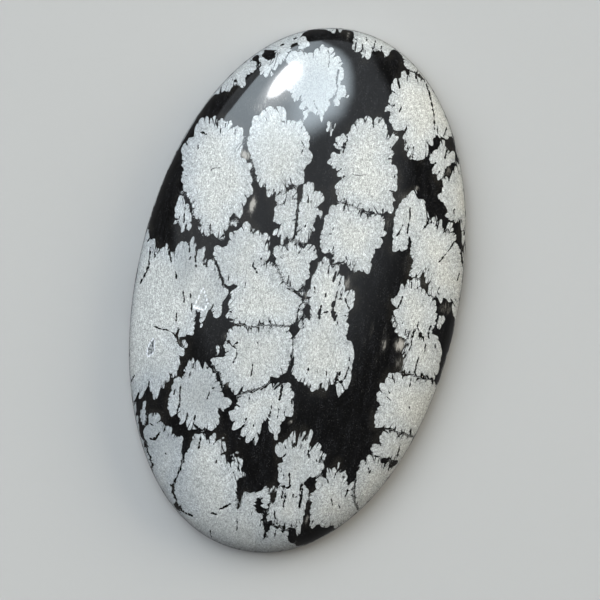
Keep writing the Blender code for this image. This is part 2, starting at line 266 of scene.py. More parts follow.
     (-5.9, 3.9), (-5.65, 4.5), (-5.35, 4.8), (-5.0, 4.5), (-4.8, 4.2), (-4.4, 4.3), (-4.0, 4.1),
     (-3.5, 4.1), (-3.3, 3.9), (-3.2, 3.3), (-3.2, 2.9), (-2.95, 2.5), (-3.0, 2.1), (-3.25, 1.8),
     (-3.0, 1.5), (-2.75, 1.85), (-2.4, 1.6), (-2.1, 1.4), (-1.7, 0.8), (-1.4, 0.4), (-0.9, 0.15),
     (-0.4, -0.15), (0.0, -0.3), (0.35, -0.52), (0.58, -0.65), (0.66, -0.95), (0.86, -1.08), (0.92, -1.35),
     (0.8, -1.58), (0.45, -1.5), (0.4, -1.75), (0.36, -2.15), (0.42, -2.5), (0.38, -2.85), (0.05, -2.95),
     (-0.4, -3.1), (-1.0, -3.2), (-1.6, -3.25), (-2.1, -3.4), (-2.8, -3.7), (-3.5, -3.8), (-4.2, -3.8),
     (-4.7, -3.95), (-5.2, -3.7), (-5.4, -3.4), (-5.2, -3.0), (-5.45, -2.5), (-5.4, -1.9), (-5.45, -1.4),
     (-5.1, -0.9), (-5.4, -0.7), (-5.7, -1.0), (-6.1, -0.8), (-6.4, -0.3), (-6.7, 0.2), (-7.0, 0.7),
     (-7.4, 1.2), (-7.6, 1.5)),
    ((0.45, -1.78), (0.6, -1.66), (0.85, -1.7), (0.95, -2.0), (0.85, -2.25), (0.65, -2.36), (0.5, -2.2)),
    ((0.72, -0.62), (0.95, -0.5), (1.1, -0.6), (1.05, -0.85), (0.8, -0.9)),
    ((0.32, 0.05), (0.45, 0.2), (0.56, 0.0), (0.55, -0.32), (0.42, -0.4), (0.3, -0.2)),
    ((-7.3, 3.1), (-7.1, 3.25), (-6.95, 3.0), (-7.1, 2.7), (-7.3, 2.8)),
    ((-6.8, 4.4), (-6.5, 4.7), (-6.25, 4.5), (-6.3, 4.2), (-6.6, 4.1)),
    ((-2.7, 3.0), (-2.4, 3.35), (-2.0, 3.3), (-1.7, 3.4), (-1.5, 3.9), (-1.2, 4.0), (-0.9, 3.9),
     (-0.6, 3.3), (-0.4, 3.9), (-0.25, 3.3), (-0.05, 3.7), (0.05, 3.95), (0.5, 4.0), (0.7, 3.7),
     (0.95, 3.6), (1.0, 3.1), (0.8, 2.9), (0.5, 2.8), (0.45, 2.4), (0.6, 1.9), (0.7, 1.4), (0.55, 1.0),
     (0.5, 0.6), (0.3, 0.2), (0.05, -0.12), (-0.35, 0.0), (-0.85, 0.24), (-1.3, 0.6), (-1.6, 0.9),
     (-2.0, 1.5), (-2.3, 2.0), (-2.6, 2.5)),
    ((-4.4, -4.1), (-4.9, -4.4), (-5.15, -4.9), (-5.0, -5.5), (-5.1, -6.1), (-4.75, -6.4), (-4.8, -6.95),
     (-5.3, -7.0), (-5.7, -6.95), (-5.9, -7.3), (-5.65, -7.7), (-5.35, -7.7), (-5.3, -8.1), (-4.95, -8.1),
     (-4.75, -8.6), (-4.5, -9.0), (-4.3, -9.4), (-4.1, -8.8), (-3.9, -9.3), (-3.6, -9.6), (-3.4, -9.95),
     (-3.05, -9.9), (-2.8, -9.5), (-2.4, -9.25), (-2.0, -9.05), (-1.5, -8.8), (-1.0, -8.4), (-0.8, -8.05),
     (-0.45, -7.7), (0.0, -7.5), (0.25, -7.1), (0.6, -6.9), (0.65, -6.2), (0.6, -5.4), (0.55, -4.6),
     (0.35, -3.9), (0.05, -3.6), (0.0, -3.25), (-0.5, -3.3), (-1.0, -3.4), (-1.6, -3.45), (-2.2, -3.6),
     (-2.9, -3.9), (-3.7, -4.0)),
    ((-5.7, -5.95), (-5.4, -6.0), (-5.35, -6.5), (-5.5, -6.8), (-5.7, -6.5)),
    ((-3.0, -9.95), (-2.7, -9.65), (-2.2, -9.4), (-1.8, -9.15), (-1.4, -8.95), (-0.9, -8.6), (-0.6, -8.2),
     (-0.3, -8.1), (-0.05, -8.4), (0.0, -8.0), (0.35, -8.0), (0.6, -8.0), (0.85, -7.8), (1.15, -7.95),
     (1.5, -8.4), (1.55, -8.8), (1.35, -9.2), (1.7, -9.2), (1.9, -9.6), (1.9, -10.3), (1.75, -10.65),
     (1.4, -10.6), (1.2, -10.5), (1.2, -11.1), (1.05, -11.8), (1.0, -12.7), (0.8, -12.8), (0.6, -12.4),
     (0.3, -12.2), (0.1, -11.7), (0.0, -11.0), (-0.15, -10.9), (-0.4, -11.5), (-0.45, -12.2),
     (-0.55, -12.9), (-0.75, -13.6), (-0.95, -13.2), (-1.3, -13.5), (-1.5, -13.5), (-1.7, -13.1),
     (-2.0, -13.4), (-2.2, -13.3), (-2.15, -12.7), (-2.0, -12.1), (-2.3, -12.5), (-2.8, -12.7),
     (-2.95, -12.1), (-3.3, -11.7), (-3.4, -11.3), (-3.1, -11.1), (-2.9, -10.6)),
    # right of the middle: a broken upper part over a solid lower one
    ((1.15, 2.7), (1.5, 3.0), (1.7, 3.3), (1.95, 3.1), (2.15, 2.7), (2.4, 2.5), (2.6, 2.8), (2.9, 2.9),
     (3.0, 2.6), (3.2, 2.2), (3.6, 2.0), (3.8, 1.5), (3.9, 0.7), (4.2, 0.8), (4.4, 1.1), (4.7, 0.9),
     (4.9, 0.2), (4.9, -0.4), (4.6, -0.9), (4.6, -1.3), (4.8, -1.9), (4.85, -2.7), (4.95, -3.2),
     (5.4, -3.2), (5.65, -3.6), (5.75, -4.3), (5.9, -4.8), (5.95, -5.3), (6.05, -6.0), (5.95, -6.8),
     (5.95, -7.3), (5.7, -7.4), (5.5, -7.8), (5.35, -8.2), (5.15, -7.8), (5.0, -7.3), (4.8, -7.0),
     (4.5, -7.1), (4.3, -7.2), (4.2, -7.7), (4.0, -8.0), (3.8, -7.8), (3.65, -7.7), (3.5, -8.0),
     (3.0, -8.05), (2.7, -7.9), (2.4, -8.0), (2.2, -7.8), (2.1, -7.5), (1.7, -7.5), (1.3, -7.2),
     (1.0, -7.05), (0.95, -6.4), (0.95, -5.9), (0.8, -5.3), (0.7, -4.7), (0.6, -4.1), (0.95, -3.5),
     (0.95, -3.15), (0.75, -2.95), (0.62, -2.75), (0.75, -2.45), (0.95, -2.38), (1.1, -2.1), (1.25, -2.0),
     (1.35, -2.15), (1.55, -2.28), (1.6, -2.1), (1.4, -1.95), (1.5, -1.75), (1.48, -1.2), (1.5, -0.97),
     (1.2, -0.9), (1.1, -0.65), (1.1, -0.42), (0.9, -0.3), (0.85, 0.1), (1.0, 1.0), (1.05, 1.7),
     (1.25, 2.1)),
    # bottom
    ((1.1, -13.4), (1.15, -13.0), (1.45, -12.95), (1.7, -13.1), (1.75, -12.6), (1.9, -12.1), (2.1, -12.2),
     (2.2, -11.8), (2.35, -11.6), (2.5, -12.1), (2.55, -12.7), (2.7, -12.8), (2.75, -12.0), (2.8, -11.5),
     (3.1, -11.35), (3.35, -11.6), (3.4, -12.1), (3.5, -11.9), (3.6, -11.35), (3.95, -11.45),
     (3.95, -12.5), (4.0, -13.2), (4.2, -12.7), (4.3, -12.3), (4.5, -12.2), (4.8, -12.5), (5.0, -12.8),
     (4.95, -13.4), (4.85, -13.8), (5.2, -13.8), (5.4, -14.2), (5.35, -14.7), (5.0, -15.0), (4.7, -15.3),
     (4.35, -15.0), (4.25, -15.6), (4.1, -16.0), (4.45, -16.3), (4.65, -17.0), (4.55, -17.7),
     (4.65, -18.4), (4.75, -19.0), (4.6, -19.4), (4.65, -20.05), (4.52, -20.2), (4.48, -20.8),
     (4.38, -20.5), (4.15, -20.1), (4.05, -19.85), (3.9, -19.9), (3.75, -19.75), (3.55, -19.95),
     (3.35, -20.0), (3.2, -19.72), (3.0, -19.95), (2.8, -19.7), (2.65, -19.85), (2.5, -19.68),
     (2.3, -19.9), (2.1, -19.6), (1.75, -19.75), (1.55, -19.3), (1.65, -18.9), (1.65, -18.35),
     (1.75, -17.98), (1.86, -18.15), (1.97, -18.1), (1.93, -17.4), (1.8, -16.8), (2.2, -16.5),
     (1.9, -16.1), (1.75, -15.6), (1.55, -15.2), (1.6, -14.8), (1.9, -14.6), (1.75, -14.2), (1.4, -14.1),
     (1.15, -13.8)),
    ((5.05, -13.3), (5.2, -13.0), (5.35, -13.1), (5.3, -13.5), (5.15, -13.6)),
    ((1.4, -17.1), (1.45, -16.6), (1.65, -16.6), (1.6, -17.1), (1.5, -17.2)),
)

# Dark seams, slits and specks inside the flakes, as a width and the points of a line in millimetres
SEAMS = (
    # upper left
    (0.30, ((-10.8, 11.3), (-10.45, 11.25))),
    (0.12, ((-10.9, 10.2), (-10.8, 9.9))),
    (0.05, ((-9.4, 8.3), (-9.2, 8.55), (-8.9, 8.7), (-8.6, 8.75))),
    (0.10, ((-9.7, 12.7), (-9.6, 12.0))),
    (0.08, ((-9.3, 12.0), (-9.25, 11.6))),
    (0.08, ((-8.1, 12.2), (-8.0, 11.7))),
    (0.10, ((-9.45, 4.1), (-9.4, 3.7))),
    (0.12, ((-8.4, 3.9), (-8.35, 3.1))),
    (0.10, ((-6.2, 6.2), (-6.0, 5.9))),
    (0.10, ((-6.5, 5.1), (-6.35, 4.8))),
    (0.10, ((-10.8, 4.9), (-10.8, 4.6))),
    (0.10, ((-10.75, 4.3), (-10.65, 3.5))),
    (0.06, ((-11.4, 7.4), (-11.2, 7.5))),
    (0.06, ((-3.95, 14.0), (-4.0, 13.6))),
    (0.08, ((-2.1, 11.8), (-2.2, 11.3))),
    (0.07, ((-2.9, 13.1), (-2.7, 12.9))),
    (0.07, ((-2.4, 12.4), (-2.0, 12.0))),
    (0.07, ((-5.9, 13.8), (-5.6, 13.5))),
    (0.12, ((-2.1, 7.7), (-2.0, 7.4))),
    (0.28, ((-11.2, 5.8), (-10.85, 5.4), (-10.4, 5.15), (-10.2, 4.5), (-9.95, 3.9))),
    (0.08, ((-1.8, 4.5), (-1.75, 4.1))),
    # top
    (0.05, ((-1.7, 20.3), (-1.55, 19.5), (-1.5, 19.0))),
    (0.07, ((-2.1, 16.0), (-1.9, 15.6), (-1.6, 15.3))),
    (0.06, ((-2.7, 15.4), (-2.4, 15.2))),
    (0.14, ((-0.6, 19.0), (-0.65, 18.4), (-0.5, 17.8), (-0.35, 17.4), (-0.4, 16.9), (-0.7, 16.3))),
    (0.14, ((-5.85, 19.95), (-5.6, 20.1))),
    (0.08, ((1.9, 22.1), (1.9, 21.3))),
    (0.09, ((0.35, 21.6), (0.4, 20.8))),
    (0.08, ((0.9, 21.6), (0.95, 21.2))),
    (0.08, ((1.1, 22.2), (1.2, 21.9))),
    (0.12, ((2.5, 21.7), (2.6, 21.2))),
    (0.06, ((0.1, 21.9), (0.45, 21.7))),
    # upper middle
    (0.10, ((-0.85, 8.1), (-0.7, 7.4))),
    (0.26, ((-1.4, 6.2), (-1.3, 5.4), (-1.2, 4.9), (-1.2, 4.3))),
    (0.07, ((-0.45, 7.7), (-0.4, 7.4))),
    (0.08, ((-0.55, 5.6), (-0.5, 5.3))),
    (0.10, ((3.15, 15.7), (3.3, 14.8))),
    (0.12, ((1.3, 13.1), (1.25, 12.2))),
    (0.03, ((2.3, 10.6), (3.0, 10.6), (3.6, 10.8))),
    (0.08, ((5.8, 9.95), (6.3, 9.9))),
    (0.08, ((1.85, 10.3), (1.6, 10.15))),
    (0.08, ((5.9, 11.3), (6.0, 11.1))),
    (0.12, ((2.35, 8.0), (2.4, 7.4))),
    (0.25, ((4.6, 7.8), (4.9, 7.75))),
    (0.16, ((3.85, 7.8), (4.05, 7.65))),
    (0.10, ((5.6, 8.3), (5.7, 7.8))),
    (0.07, ((1.6, 5.2), (1.8, 5.3))),
    (0.07, ((1.8, 5.6), (1.85, 5.9))),
    (0.08, ((2.2, 4.3), (2.25, 3.7))),
    (0.08, ((3.4, 3.7), (3.5, 3.4))),
    # upper right
    (0.10, ((6.9, 19.4), (7.4, 18.6), (7.7, 17.9), (8.1, 17.0), (8.3, 16.2), (8.4, 15.8))),
    (0.14, ((6.0, 15.0), (6.05, 15.6))),
    (0.07, ((5.25, 17.1), (5.2, 16.6))),
    (0.14, ((5.9, 20.2), (5.95, 19.7))),
    (0.08, ((6.5, 14.0), (6.55, 13.6))),
    (0.09, ((7.0, 14.0), (7.05, 13.1))),
    (0.08, ((9.4, 16.2), (9.3, 15.4))),
    (0.15, ((4.45, 19.3), (4.75, 18.6))),
    (0.14, ((4.65, 17.2), (4.5, 16.8))),
    (0.10, ((9.8, 14.3), (9.8, 13.6))),
    (0.08, ((11.5, 9.6), (11.6, 8.9))),
    (0.15, ((9.6, 8.3), (9.5, 7.8), (9.25, 7.3))),
    (0.10, ((7.8, 8.9), (7.95, 8.2), (8.0, 7.4), (8.05, 6.7))),
    (0.12, ((7.5, 7.3), (7.4, 6.7), (7.2, 6.3))),
    (0.20, ((8.3, 6.4), (8.45, 6.0), (8.4, 5.3))),
    (0.08, ((10.45, 8.4), (10.45, 7.6))),
    (0.12, ((11.05, 8.2), (11.05, 7.5))),
    (0.10, ((12.1, 6.9), (11.8, 6.1), (11.5, 5.5), (11.2, 4.9))),
    (0.07, ((11.7, 2.9), (11.6, 2.4), (11.8, 2.2))),
    (0.08, ((13.1, 4.4), (13.05, 3.7))),
    (0.10, ((12.7, 8.5), (12.8, 7.6))),
    # right
    (0.12, ((8.8, 1.4), (8.75, 0.9), (8.65, 0.3))),
    (0.08, ((10.5, 1.4), (10.7, 1.5))),
    (0.06, ((9.3, -0.6), (9.3, -0.9))),
    (0.08, ((10.6, -0.4), (10.6, -0.9), (10.8, -1.15))),
    (0.36, ((10.95, -1.35), (11.0, -1.7))),
    (0.14, ((11.2, -1.5), (11.35, -1.9))),
    (0.13, ((11.7, -0.5), (11.6, -1.1), (11.75, -1.6))),
    (0.13, ((10.35, -1.1), (10.4, -1.8))),
    (0.08, ((10.35, -1.9), (10.4, -2.6), (10.3, -3.0))),
    (0.08, ((11.6, -2.1), (11.6, -2.9))),
    (0.07, ((9.7, -1.2), (9.7, -1.8))),
    (0.09, ((10.0, -1.3), (10.0, -1.9))),
    (0.10, ((11.2, -3.3), (11.2, -4.5))),
    (0.10, ((9.9, -2.0), (9.9, -2.8))),
    (0.07, ((12.4, -1.9), (12.45, -2.3))),
    (0.16, ((11.15, -4.6), (11.35, -4.95))),
    (0.16, ((11.8, -4.6), (11.9, -5.0), (12.2, -4.8))),
    (0.12, ((10.2, -4.8), (10.3, -5.4))),
    (0.08, ((9.5, -5.4), (9.7, -5.9))),
    (0.07, ((11.0, -5.1), (11.05, -6.0))),
    (0.12, ((12.7, -4.8), (12.9, -5.3))),
    (0.07, ((9.3, -7.2), (9.7, -7.4))),
    (0.08, ((9.3, -6.6), (9.5, -6.9))),
    (0.11, ((11.9, -9.4), (11.95, -9.95))),
    (0.08, ((10.6, -9.5), (10.6, -9.9))),
    (0.14, ((11.1, -10.05), (11.3, -9.85))),
    (0.10, ((11.3, -10.8), (11.3, -11.9))),
    (0.07, ((9.1, -13.4), (9.2, -13.8), (9.4, -13.5))),
    (0.10, ((10.4, -12.6), (10.35, -13.2))),
    (0.09, ((10.8, -12.6), (10.8, -13.3))),
    (0.07, ((8.8, -12.9), (8.8, -13.2))),
    (0.08, ((6.6, -16.6), (6.8, -17.2))),
    (0.06, ((7.3, -17.0), (7.5, -17.3))),
    (0.09, ((7.8, -15.5), (7.7, -16.4))),
    (0.07, ((5.55, -15.4), (5.6, -15.8))),
    # left
    (0.08, ((-12.95, 0.9), (-12.8, -0.4))),
    (0.12, ((-12.75, -0.5), (-12.85, -1.2), (-13.0, -1.8), (-13.15, -2.3))),
    (0.18, ((-11.4, 1.0), (-11.15, 0.4), (-11.0, 0.0))),
    (0.20, ((-9.8, 1.9), (-9.65, 1.2))),
    (0.16, ((-9.15, 1.8), (-9.0, 0.8), (-8.85, 0.1))),
    (0.15, ((-8.3, 1.6), (-8.25, 0.4))),
    (0.14, ((-8.0, 1.0), (-7.95, 0.3))),
    (0.16, ((-10.45, -0.7), (-10.25, -1.2))),
    (0.13, ((-9.45, -2.15), (-9.3, -2.6), (-9.15, -3.05))),
    (0.10, ((-8.5, -3.0), (-8.4, -3.7))),
    (0.08, ((-9.6, -4.1), (-9.5, -4.8))),
    (0.10, ((-11.2, -5.6), (-10.6, -5.7), (-10.1, -5.65), (-9.5, -5.85), (-9.2, -6.1))),
    (0.18, ((-9.15, -5.3), (-9.15, -6.0), (-8.85, -6.6))),
    (0.08, ((-8.8, -2.2), (-8.7, -2.6))),
    (0.12, ((-12.5, 0.6), (-12.4, 0.1))),
    (0.10, ((-9.45, 0.9), (-9.5, 0.6))),
    (0.08, ((-13.6, -4.6), (-13.5, -5.3))),
    (0.09, ((-8.95, -9.7), (-8.9, -9.2))),
    (0.10, ((-11.95, -10.0), (-12.2, -10.8))),
    (0.12, ((-4.1, 1.7), (-4.15, 1.2), (-3.9, 1.0), (-3.65, 0.7))),
    (0.07, ((-4.45, -0.3), (-4.4, -0.8))),
    (0.07, ((-6.0, 0.1), (-5.9, -0.5))),
    (0.20, ((-7.4, 0.95), (-7.0, 0.45), (-6.6, -0.25), (-6.2, -0.85), (-5.8, -1.05))),
    (0.18, ((-5.75, -1.1), (-5.4, -0.9), (-5.05, -0.7))),
    (0.07, ((-1.0, 1.1), (-0.95, 0.4))),
    (0.06, ((-2.05, 2.45), (-1.8, 2.3))),
    (0.07, ((-1.85, -2.9), (-1.75, -3.2))),
    # middle and lower middle
    (0.10, ((-5.1, -5.7), (-4.6, -5.6), (-4.4, -5.8), (-3.95, -6.0), (-3.85, -6.5), (-4.0, -7.2))),
    (0.15, ((-4.2, -5.6), (-4.0, -5.4))),
    (0.08, ((-2.35, -6.9), (-2.3, -7.4), (-2.3, -8.0))),
    (0.07, ((-2.35, -5.0), (-2.3, -5.2))),
    (0.22, ((0.45, -8.1), (0.5, -8.8), (0.5, -9.4))),
    (0.10, ((-1.9, -11.5), (-2.0, -12.3))),
    (0.12, ((0.6, -10.1), (0.65, -10.9))),
    (0.08, ((-0.05, -9.9), (0.0, -11.0))),
    (0.06, ((-1.15, -11.8), (-1.2, -12.1))),
    (0.14, ((1.5, -9.1), (1.6, -9.5))),
    (0.08, ((-2.1, -9.5), (-2.0, -9.9))),
    (0.10, ((0.65, -12.5), (0.5, -12.1))),
    (0.28, ((2.25, -0.9), (2.2, -1.6), (2.3, -1.9))),
    (0.15, ((2.5, -1.4), (2.9, -1.2))),
    (0.34, ((3.2, -0.4), (3.25, -0.9), (3.4, -1.5))),
    (0.20, ((3.7, -1.2), (3.6, -1.8))),
    (0.11, ((3.35, 0.7), (3.3, 0.1), (3.3, -0.4))),
    (0.12, ((3.75, 0.6), (3.75, 0.1), (3.6, 0.0))),
    (0.12, ((4.1, 0.2), (4.3, -0.2), (4.7, -0.7))),
    (0.10, ((1.35, 0.6), (1.45, 0.1))),
    (0.15, ((2.4, 0.3), (2.4, -0.05))),
    (0.10, ((11.38, -7.6), (11.42, -7.75))),
    (0.14, ((-4.9, 20.75), (-4.65, 20.9))),
    (0.12, ((2.2, 2.7), (2.25, 1.9))),
    (0.20, ((2.85, 2.2), (2.8, 1.4))),
    (0.12, ((3.35, 1.9), (3.35, 1.1))),
    (0.07, ((4.5, -1.2), (4.2, -1.3))),
    (0.08, ((3.85, -1.8), (3.9, -2.2))),
    (0.09, ((5.05, -5.9), (5.0, -6.9))),
    (0.14, ((5.65, -5.4), (5.55, -6.3), (5.3, -6.9), (5.0, -6.8))),
    (0.10, ((5.35, -6.9), (5.7, -7.4))),
    (0.18, ((4.75, -6.1), (4.8, -7.0))),
    (0.12, ((2.35, -6.2), (2.3, -6.8))),
    (0.12, ((3.85, -6.2), (4.0, -6.7))),
    (0.08, ((3.1, -6.2), (3.15, -6.5))),
    (0.12, ((3.7, -7.2), (3.7, -7.9))),
    (0.10, ((2.8, -7.5), (2.8, -8.0))),
    (0.08, ((5.5, -4.6), (5.55, -4.9))),
    (0.10, ((-7.95, -9.9), (-7.85, -10.8), (-7.7, -11.4), (-7.75, -12.3))),
    (0.10, ((-6.2, -12.2), (-6.2, -13.0))),
    (0.08, ((-5.45, -10.0), (-5.5, -10.7))),
    (0.08, ((-8.35, -10.4), (-8.35, -10.9))),
    (0.10, ((-5.3, -9.7), (-5.1, -9.55))),
    (0.08, ((-7.4, -8.7), (-7.35, -9.2))),
    # bottom
    (0.20, ((-8.8, -14.3), (-9.1, -14.9), (-9.5, -14.95))),
    (0.10, ((-9.8, -13.7), (-9.5, -13.8))),
    (0.08, ((-7.95, -15.8), (-7.9, -16.0))),
    (0.12, ((-5.35, -13.8), (-5.3, -14.9))),
    (0.10, ((-4.65, -13.8), (-4.5, -14.3))),
    (0.10, ((-6.7, -17.8), (-6.75, -18.4), (-6.7, -19.0), (-6.3, -19.5))),
    (0.12, ((-7.0, -18.4), (-6.6, -18.6))),
    (0.15, ((-5.8, -20.0), (-5.6, -20.4), (-5.1, -20.5), (-4.6, -20.6))),
    (0.12, ((-3.1, -20.0), (-2.6, -20.0))),
    (0.16, ((-2.45, -19.5), (-2.0, -19.2), (-1.7, -18.9))),
    (0.06, ((-2.9, -21.4), (-2.65, -22.0))),
    (0.08, ((-0.85, -20.0), (-0.7, -20.6), (-0.65, -21.0))),
    (0.12, ((-1.0, -18.7), (-1.0, -19.2))),
    (0.18, ((1.4, -19.0), (1.6, -19.8), (1.75, -20.9), (1.7, -21.2))),
    (0.08, ((1.15, -19.6), (1.2, -20.2))),
    (0.08, ((-3.6, -15.5), (-3.6, -15.8))),
    (0.12, ((-3.35, -14.95), (-3.0, -14.8))),
    (0.06, ((-1.9, -15.9), (-2.0, -16.3))),
    (0.08, ((0.3, -19.1), (0.25, -19.4))),
    (0.08, ((2.55, -20.5), (2.6, -20.8))),
    (0.13, ((2.65, -15.3), (2.8, -15.8), (2.95, -16.3), (2.75, -16.6), (2.4, -16.4))),
    (0.15, ((2.45, -16.7), (2.45, -17.5))),
    (0.11, ((2.75, -17.0), (2.75, -18.2))),
    (0.11, ((3.3, -16.8), (3.4, -17.2), (3.7, -17.1))),
    (0.20, ((4.0, -16.4), (4.05, -17.2), (4.1, -18.0))),
    (0.14, ((2.1, -18.7), (2.15, -19.0), (2.35, -19.3))),
    (0.14, ((3.9, -15.9), (3.85, -16.5))),
    (0.10, ((3.8, -13.0), (4.0, -13.7))),
    (0.08, ((3.1, -12.6), (3.1, -13.2))),
    (0.08, ((2.6, -12.6), (2.45, -13.2))),
    (0.08, ((4.6, -13.6), (4.75, -13.85))),
    (0.08, ((1.7, -13.0), (1.9, -13.3))),
    (0.09, ((4.1, -19.0), (4.15, -19.9))),
    (0.15, ((1.95, -16.6), (1.9, -17.4), (1.8, -18.1))),
    (0.07, ((2.2, -15.5), (2.3, -15.9))),
    (0.07, ((1.9, -15.0), (1.95, -15.4))),
    (0.15, ((-0.32, 0.0), (-0.22, -0.18), (0.05, -0.28), (0.2, -0.42))),
    (0.13, ((0.18, -0.3), (0.26, 0.02), (0.36, 0.3), (0.4, 0.5))),
    (0.13, ((0.2, -0.42), (0.42, -0.44), (0.62, -0.56), (0.9, -0.42), (1.1, -0.42))),
    (0.16, ((0.58, -0.5), (0.6, -0.75), (0.68, -0.92))),
    (0.13, ((0.4, -1.45), (0.52, -1.58), (0.9, -1.6))),
    (0.16, ((0.42, -2.1), (0.5, -2.4), (0.55, -2.75))),
    (0.13, ((1.3, -1.95), (1.55, -2.22))),
    (0.14, ((0.97, -2.0), (0.85, -2.4))),
    (0.24, ((0.95, -18.85), (1.3, -19.15), (1.48, -19.6))),
)

# Dark holes within the flakes, as outlines
HOLES = (
    ((0.38, -17.9), (0.88, -17.9), (0.97, -18.5), (1.14, -18.8), (1.15, -19.16), (0.75, -19.2),
     (0.58, -18.95), (0.36, -18.75)),
    ((-5.0, 19.85), (-4.93, 20.3), (-4.6, 20.42), (-4.28, 20.3), (-4.33, 19.93), (-4.65, 19.72)),
    ((-7.12, 18.7), (-6.75, 18.52), (-6.3, 18.58), (-6.03, 18.85), (-6.08, 19.3), (-6.55, 19.42),
     (-7.1, 19.3)),
)

# Flakes sunk under the surface, seen through the dark glass: x, y, half widths across and along, strength
SUNKEN = (
    (-6.8, 10.25, 0.55, 0.50, 0.75),
    (-5.25, 6.2, 0.30, 0.80, 0.85),
    (-2.45, 8.8, 0.16, 0.35, 0.35),
    (4.05, 1.4, 0.35, 0.85, 0.40),
    (0.8, -0.25, 0.18, 0.45, 0.35),
    (6.35, 7.4, 0.35, 1.10, 0.16),
    (8.6, 4.1, 0.45, 0.75, 0.16),
    (7.1, 9.6, 0.50, 0.50, 0.30),
    (8.0, 10.6, 0.20, 0.25, 0.50),
    (10.35, 3.1, 0.40, 0.70, 0.30),
    (10.3, 12.6, 0.30, 0.45, 0.35),
    (12.6, 1.2, 0.55, 0.60, 0.32),
    (9.45, -2.65, 0.42, 0.65, 0.85),
    (9.9, -4.0, 0.55, 0.70, 0.40),
    (8.15, -2.9, 0.30, 0.75, 0.42),
    (8.0, -1.8, 0.10, 0.50, 0.30),
    (6.85, -2.0, 0.10, 0.75, 0.34),
    (6.4, -2.9, 0.15, 0.50, 0.10),
    (7.8, -4.3, 0.15, 0.60, 0.12),
    (-4.1, -9.1, 0.20, 0.40, 0.40),
    (-5.2, -5.1, 0.22, 0.35, 0.40),
    (1.8, -11.05, 0.16, 0.16, 0.80),
    (-8.6, -6.5, 0.40, 0.40, 0.25),
    (-0.45, 22.1, 0.16, 0.45, 0.35),
    (-9.2, 0.9, 0.25, 0.80, 0.20),
    # These two, just below the lamp's highlight, are partly fine dust in the glass and partly painted glow of
    # the lamp
    (-6.2, 14.5, 1.2, 0.9, 0.30),
    (-4.7, 15.5, 1.0, 0.5, 0.20),
    (4.95, -18.8, 0.16, 0.4, 0.5),
)

# Places where the flakes are greyer and bluer, listed in the same way: partly flakes lying a little under the
# surface, partly painted shade that darkens the flakes where less light falls, mostly towards the bottom of
# the stone
DULLED_AND_SHADED = (
    (-2.6, 17.2, 3.4, 3.2, 1.0),
    (-4.3, 12.2, 2.4, 2.8, 0.3),
    (-9.7, 0.5, 1.2, 3.0, 0.65),
    (-7.4, -1.4, 1.6, 2.6, 0.4),
    (-5.9, 1.6, 2.4, 2.0, 0.3),
    (-5.9, -10.2, 2.8, 2.4, 0.65),
    (-8.8, -14.6, 3.0, 2.4, 0.6),
    (-6.0, -18.0, 2.6, 2.0, 0.35),
    (-10.4, -9.2, 1.6, 1.6, 0.35),
    (1.9, -14.0, 2.2, 2.2, 0.4),
    (-11.0, -12.5, 1.6, 3.0, 0.35),
    (-2.7, -0.6, 2.6, 2.0, 0.12),
    (-2.4, -5.7, 2.6, 2.4, 0.25),
    (2.9, -4.1, 2.2, 2.6, 0.12),
    # These last two darken the bottom of the stone: painted shade
    (-0.6, -20.3, 3.6, 1.8, 0.2),
    (3.5, -14.8, 2.0, 2.6, 0.2),
)

# A shallow three-sided chip and a long pit in the polish, with bruised, whitish edges
CHIP = ((-7.85, -1.5), (-8.3, -3.3), (-7.35, -3.4), (-7.2, -2.7))
CHIP_DEPTH = 0.06
PIT = (
    (-11.05, -6.6), (-10.88, -6.9), (-10.76, -7.4), (-10.85, -7.9), (-11.15, -8.2), (-11.33, -8.0),
    (-11.32, -7.3), (-11.2, -6.9),
)
PIT_DEPTH = 0.12
# The face slopes down over the first of these distances inside their edges, and the pit's blue sets in
# over the second
MARK_SLOPE = 0.25
HOLLOW_EDGE = 0.1
BRUISE_WIDTH = 0.11
# Patches with a higher value keep their strength further out and end more sharply
PATCH_FULLNESS = 1.5

# How the seams are drawn: past this distance they fade out, this much for each millimetre
SEAM_REACH = 0.16
SEAM_FADE = 3.0
# No point further than this from a seam is touched by it
SEAM_FURTHEST = 3.0 * SEAM_REACH
# Two flakes that come this close to each other are parted by a thin seam
MEETING_REACH = 0.09
MEETING_WIDTH = 0.12

# Slits that run in from the notches of the outlines
NICK_SEED = 12
NICK_SHARE = 0.4
NICK_SHARPNESS = 0.35
NICK_LENGTHS = (0.12, 0.35)
NICK_WIDTHS = (0.05, 0.11)
# They lean this much towards the stone's length. The length drawn for one is taken this many times if it
# runs across the stone, and once more if it runs along it. They bend by up to this share of it, and start
# this far outside the edge
NICK_UPRIGHT = 0.35
NICK_LEVEL_SHARE = 0.6
NICK_BEND = 0.12
NICK_START = 0.1
# Places, as x, y and radius, whose lobes are too small for them
SMALL_LOBES = ((-1.9, -15.5, 1.3), (9.9, -12.5, 0.9))

# The flakes' edge is a row of lobes, so many to a millimetre, with slits between them
LOBES = 1.9
LOBE_MEAN = 0.22
LOBE_HEIGHT = 0.32
WILD_LOBE_HEIGHT = 0.7
FLAKE_SWELL = 0.035
# Slits are this wide at the edge and, across and along the flow, this deep at most
SLIT_HALF = 0.045
SLIT_DEPTHS = (0.12, 0.5)
# Soft creases run on from the slits, this wide and, at their darkest, this share of the flake's own tone.
# They fade over this distance from the edge to this share of their strength
CREASE_WIDTH = 0.09
CREASE_TONE = 0.80
CREASE_REACH = 0.9
CREASE_LEFT = 0.15
# Along the spokes the lobes wander this much for each millimetre, and each flake has lobes of its own
SPOKE_DRIFT = 0.3
FLAKE_APART = 7.3

# Below this height the pattern read from above gives way to flakes of the wall and the back
WILD_FROM = 1.8
WILD_FULL = 0.9
WILD_SEED = 47
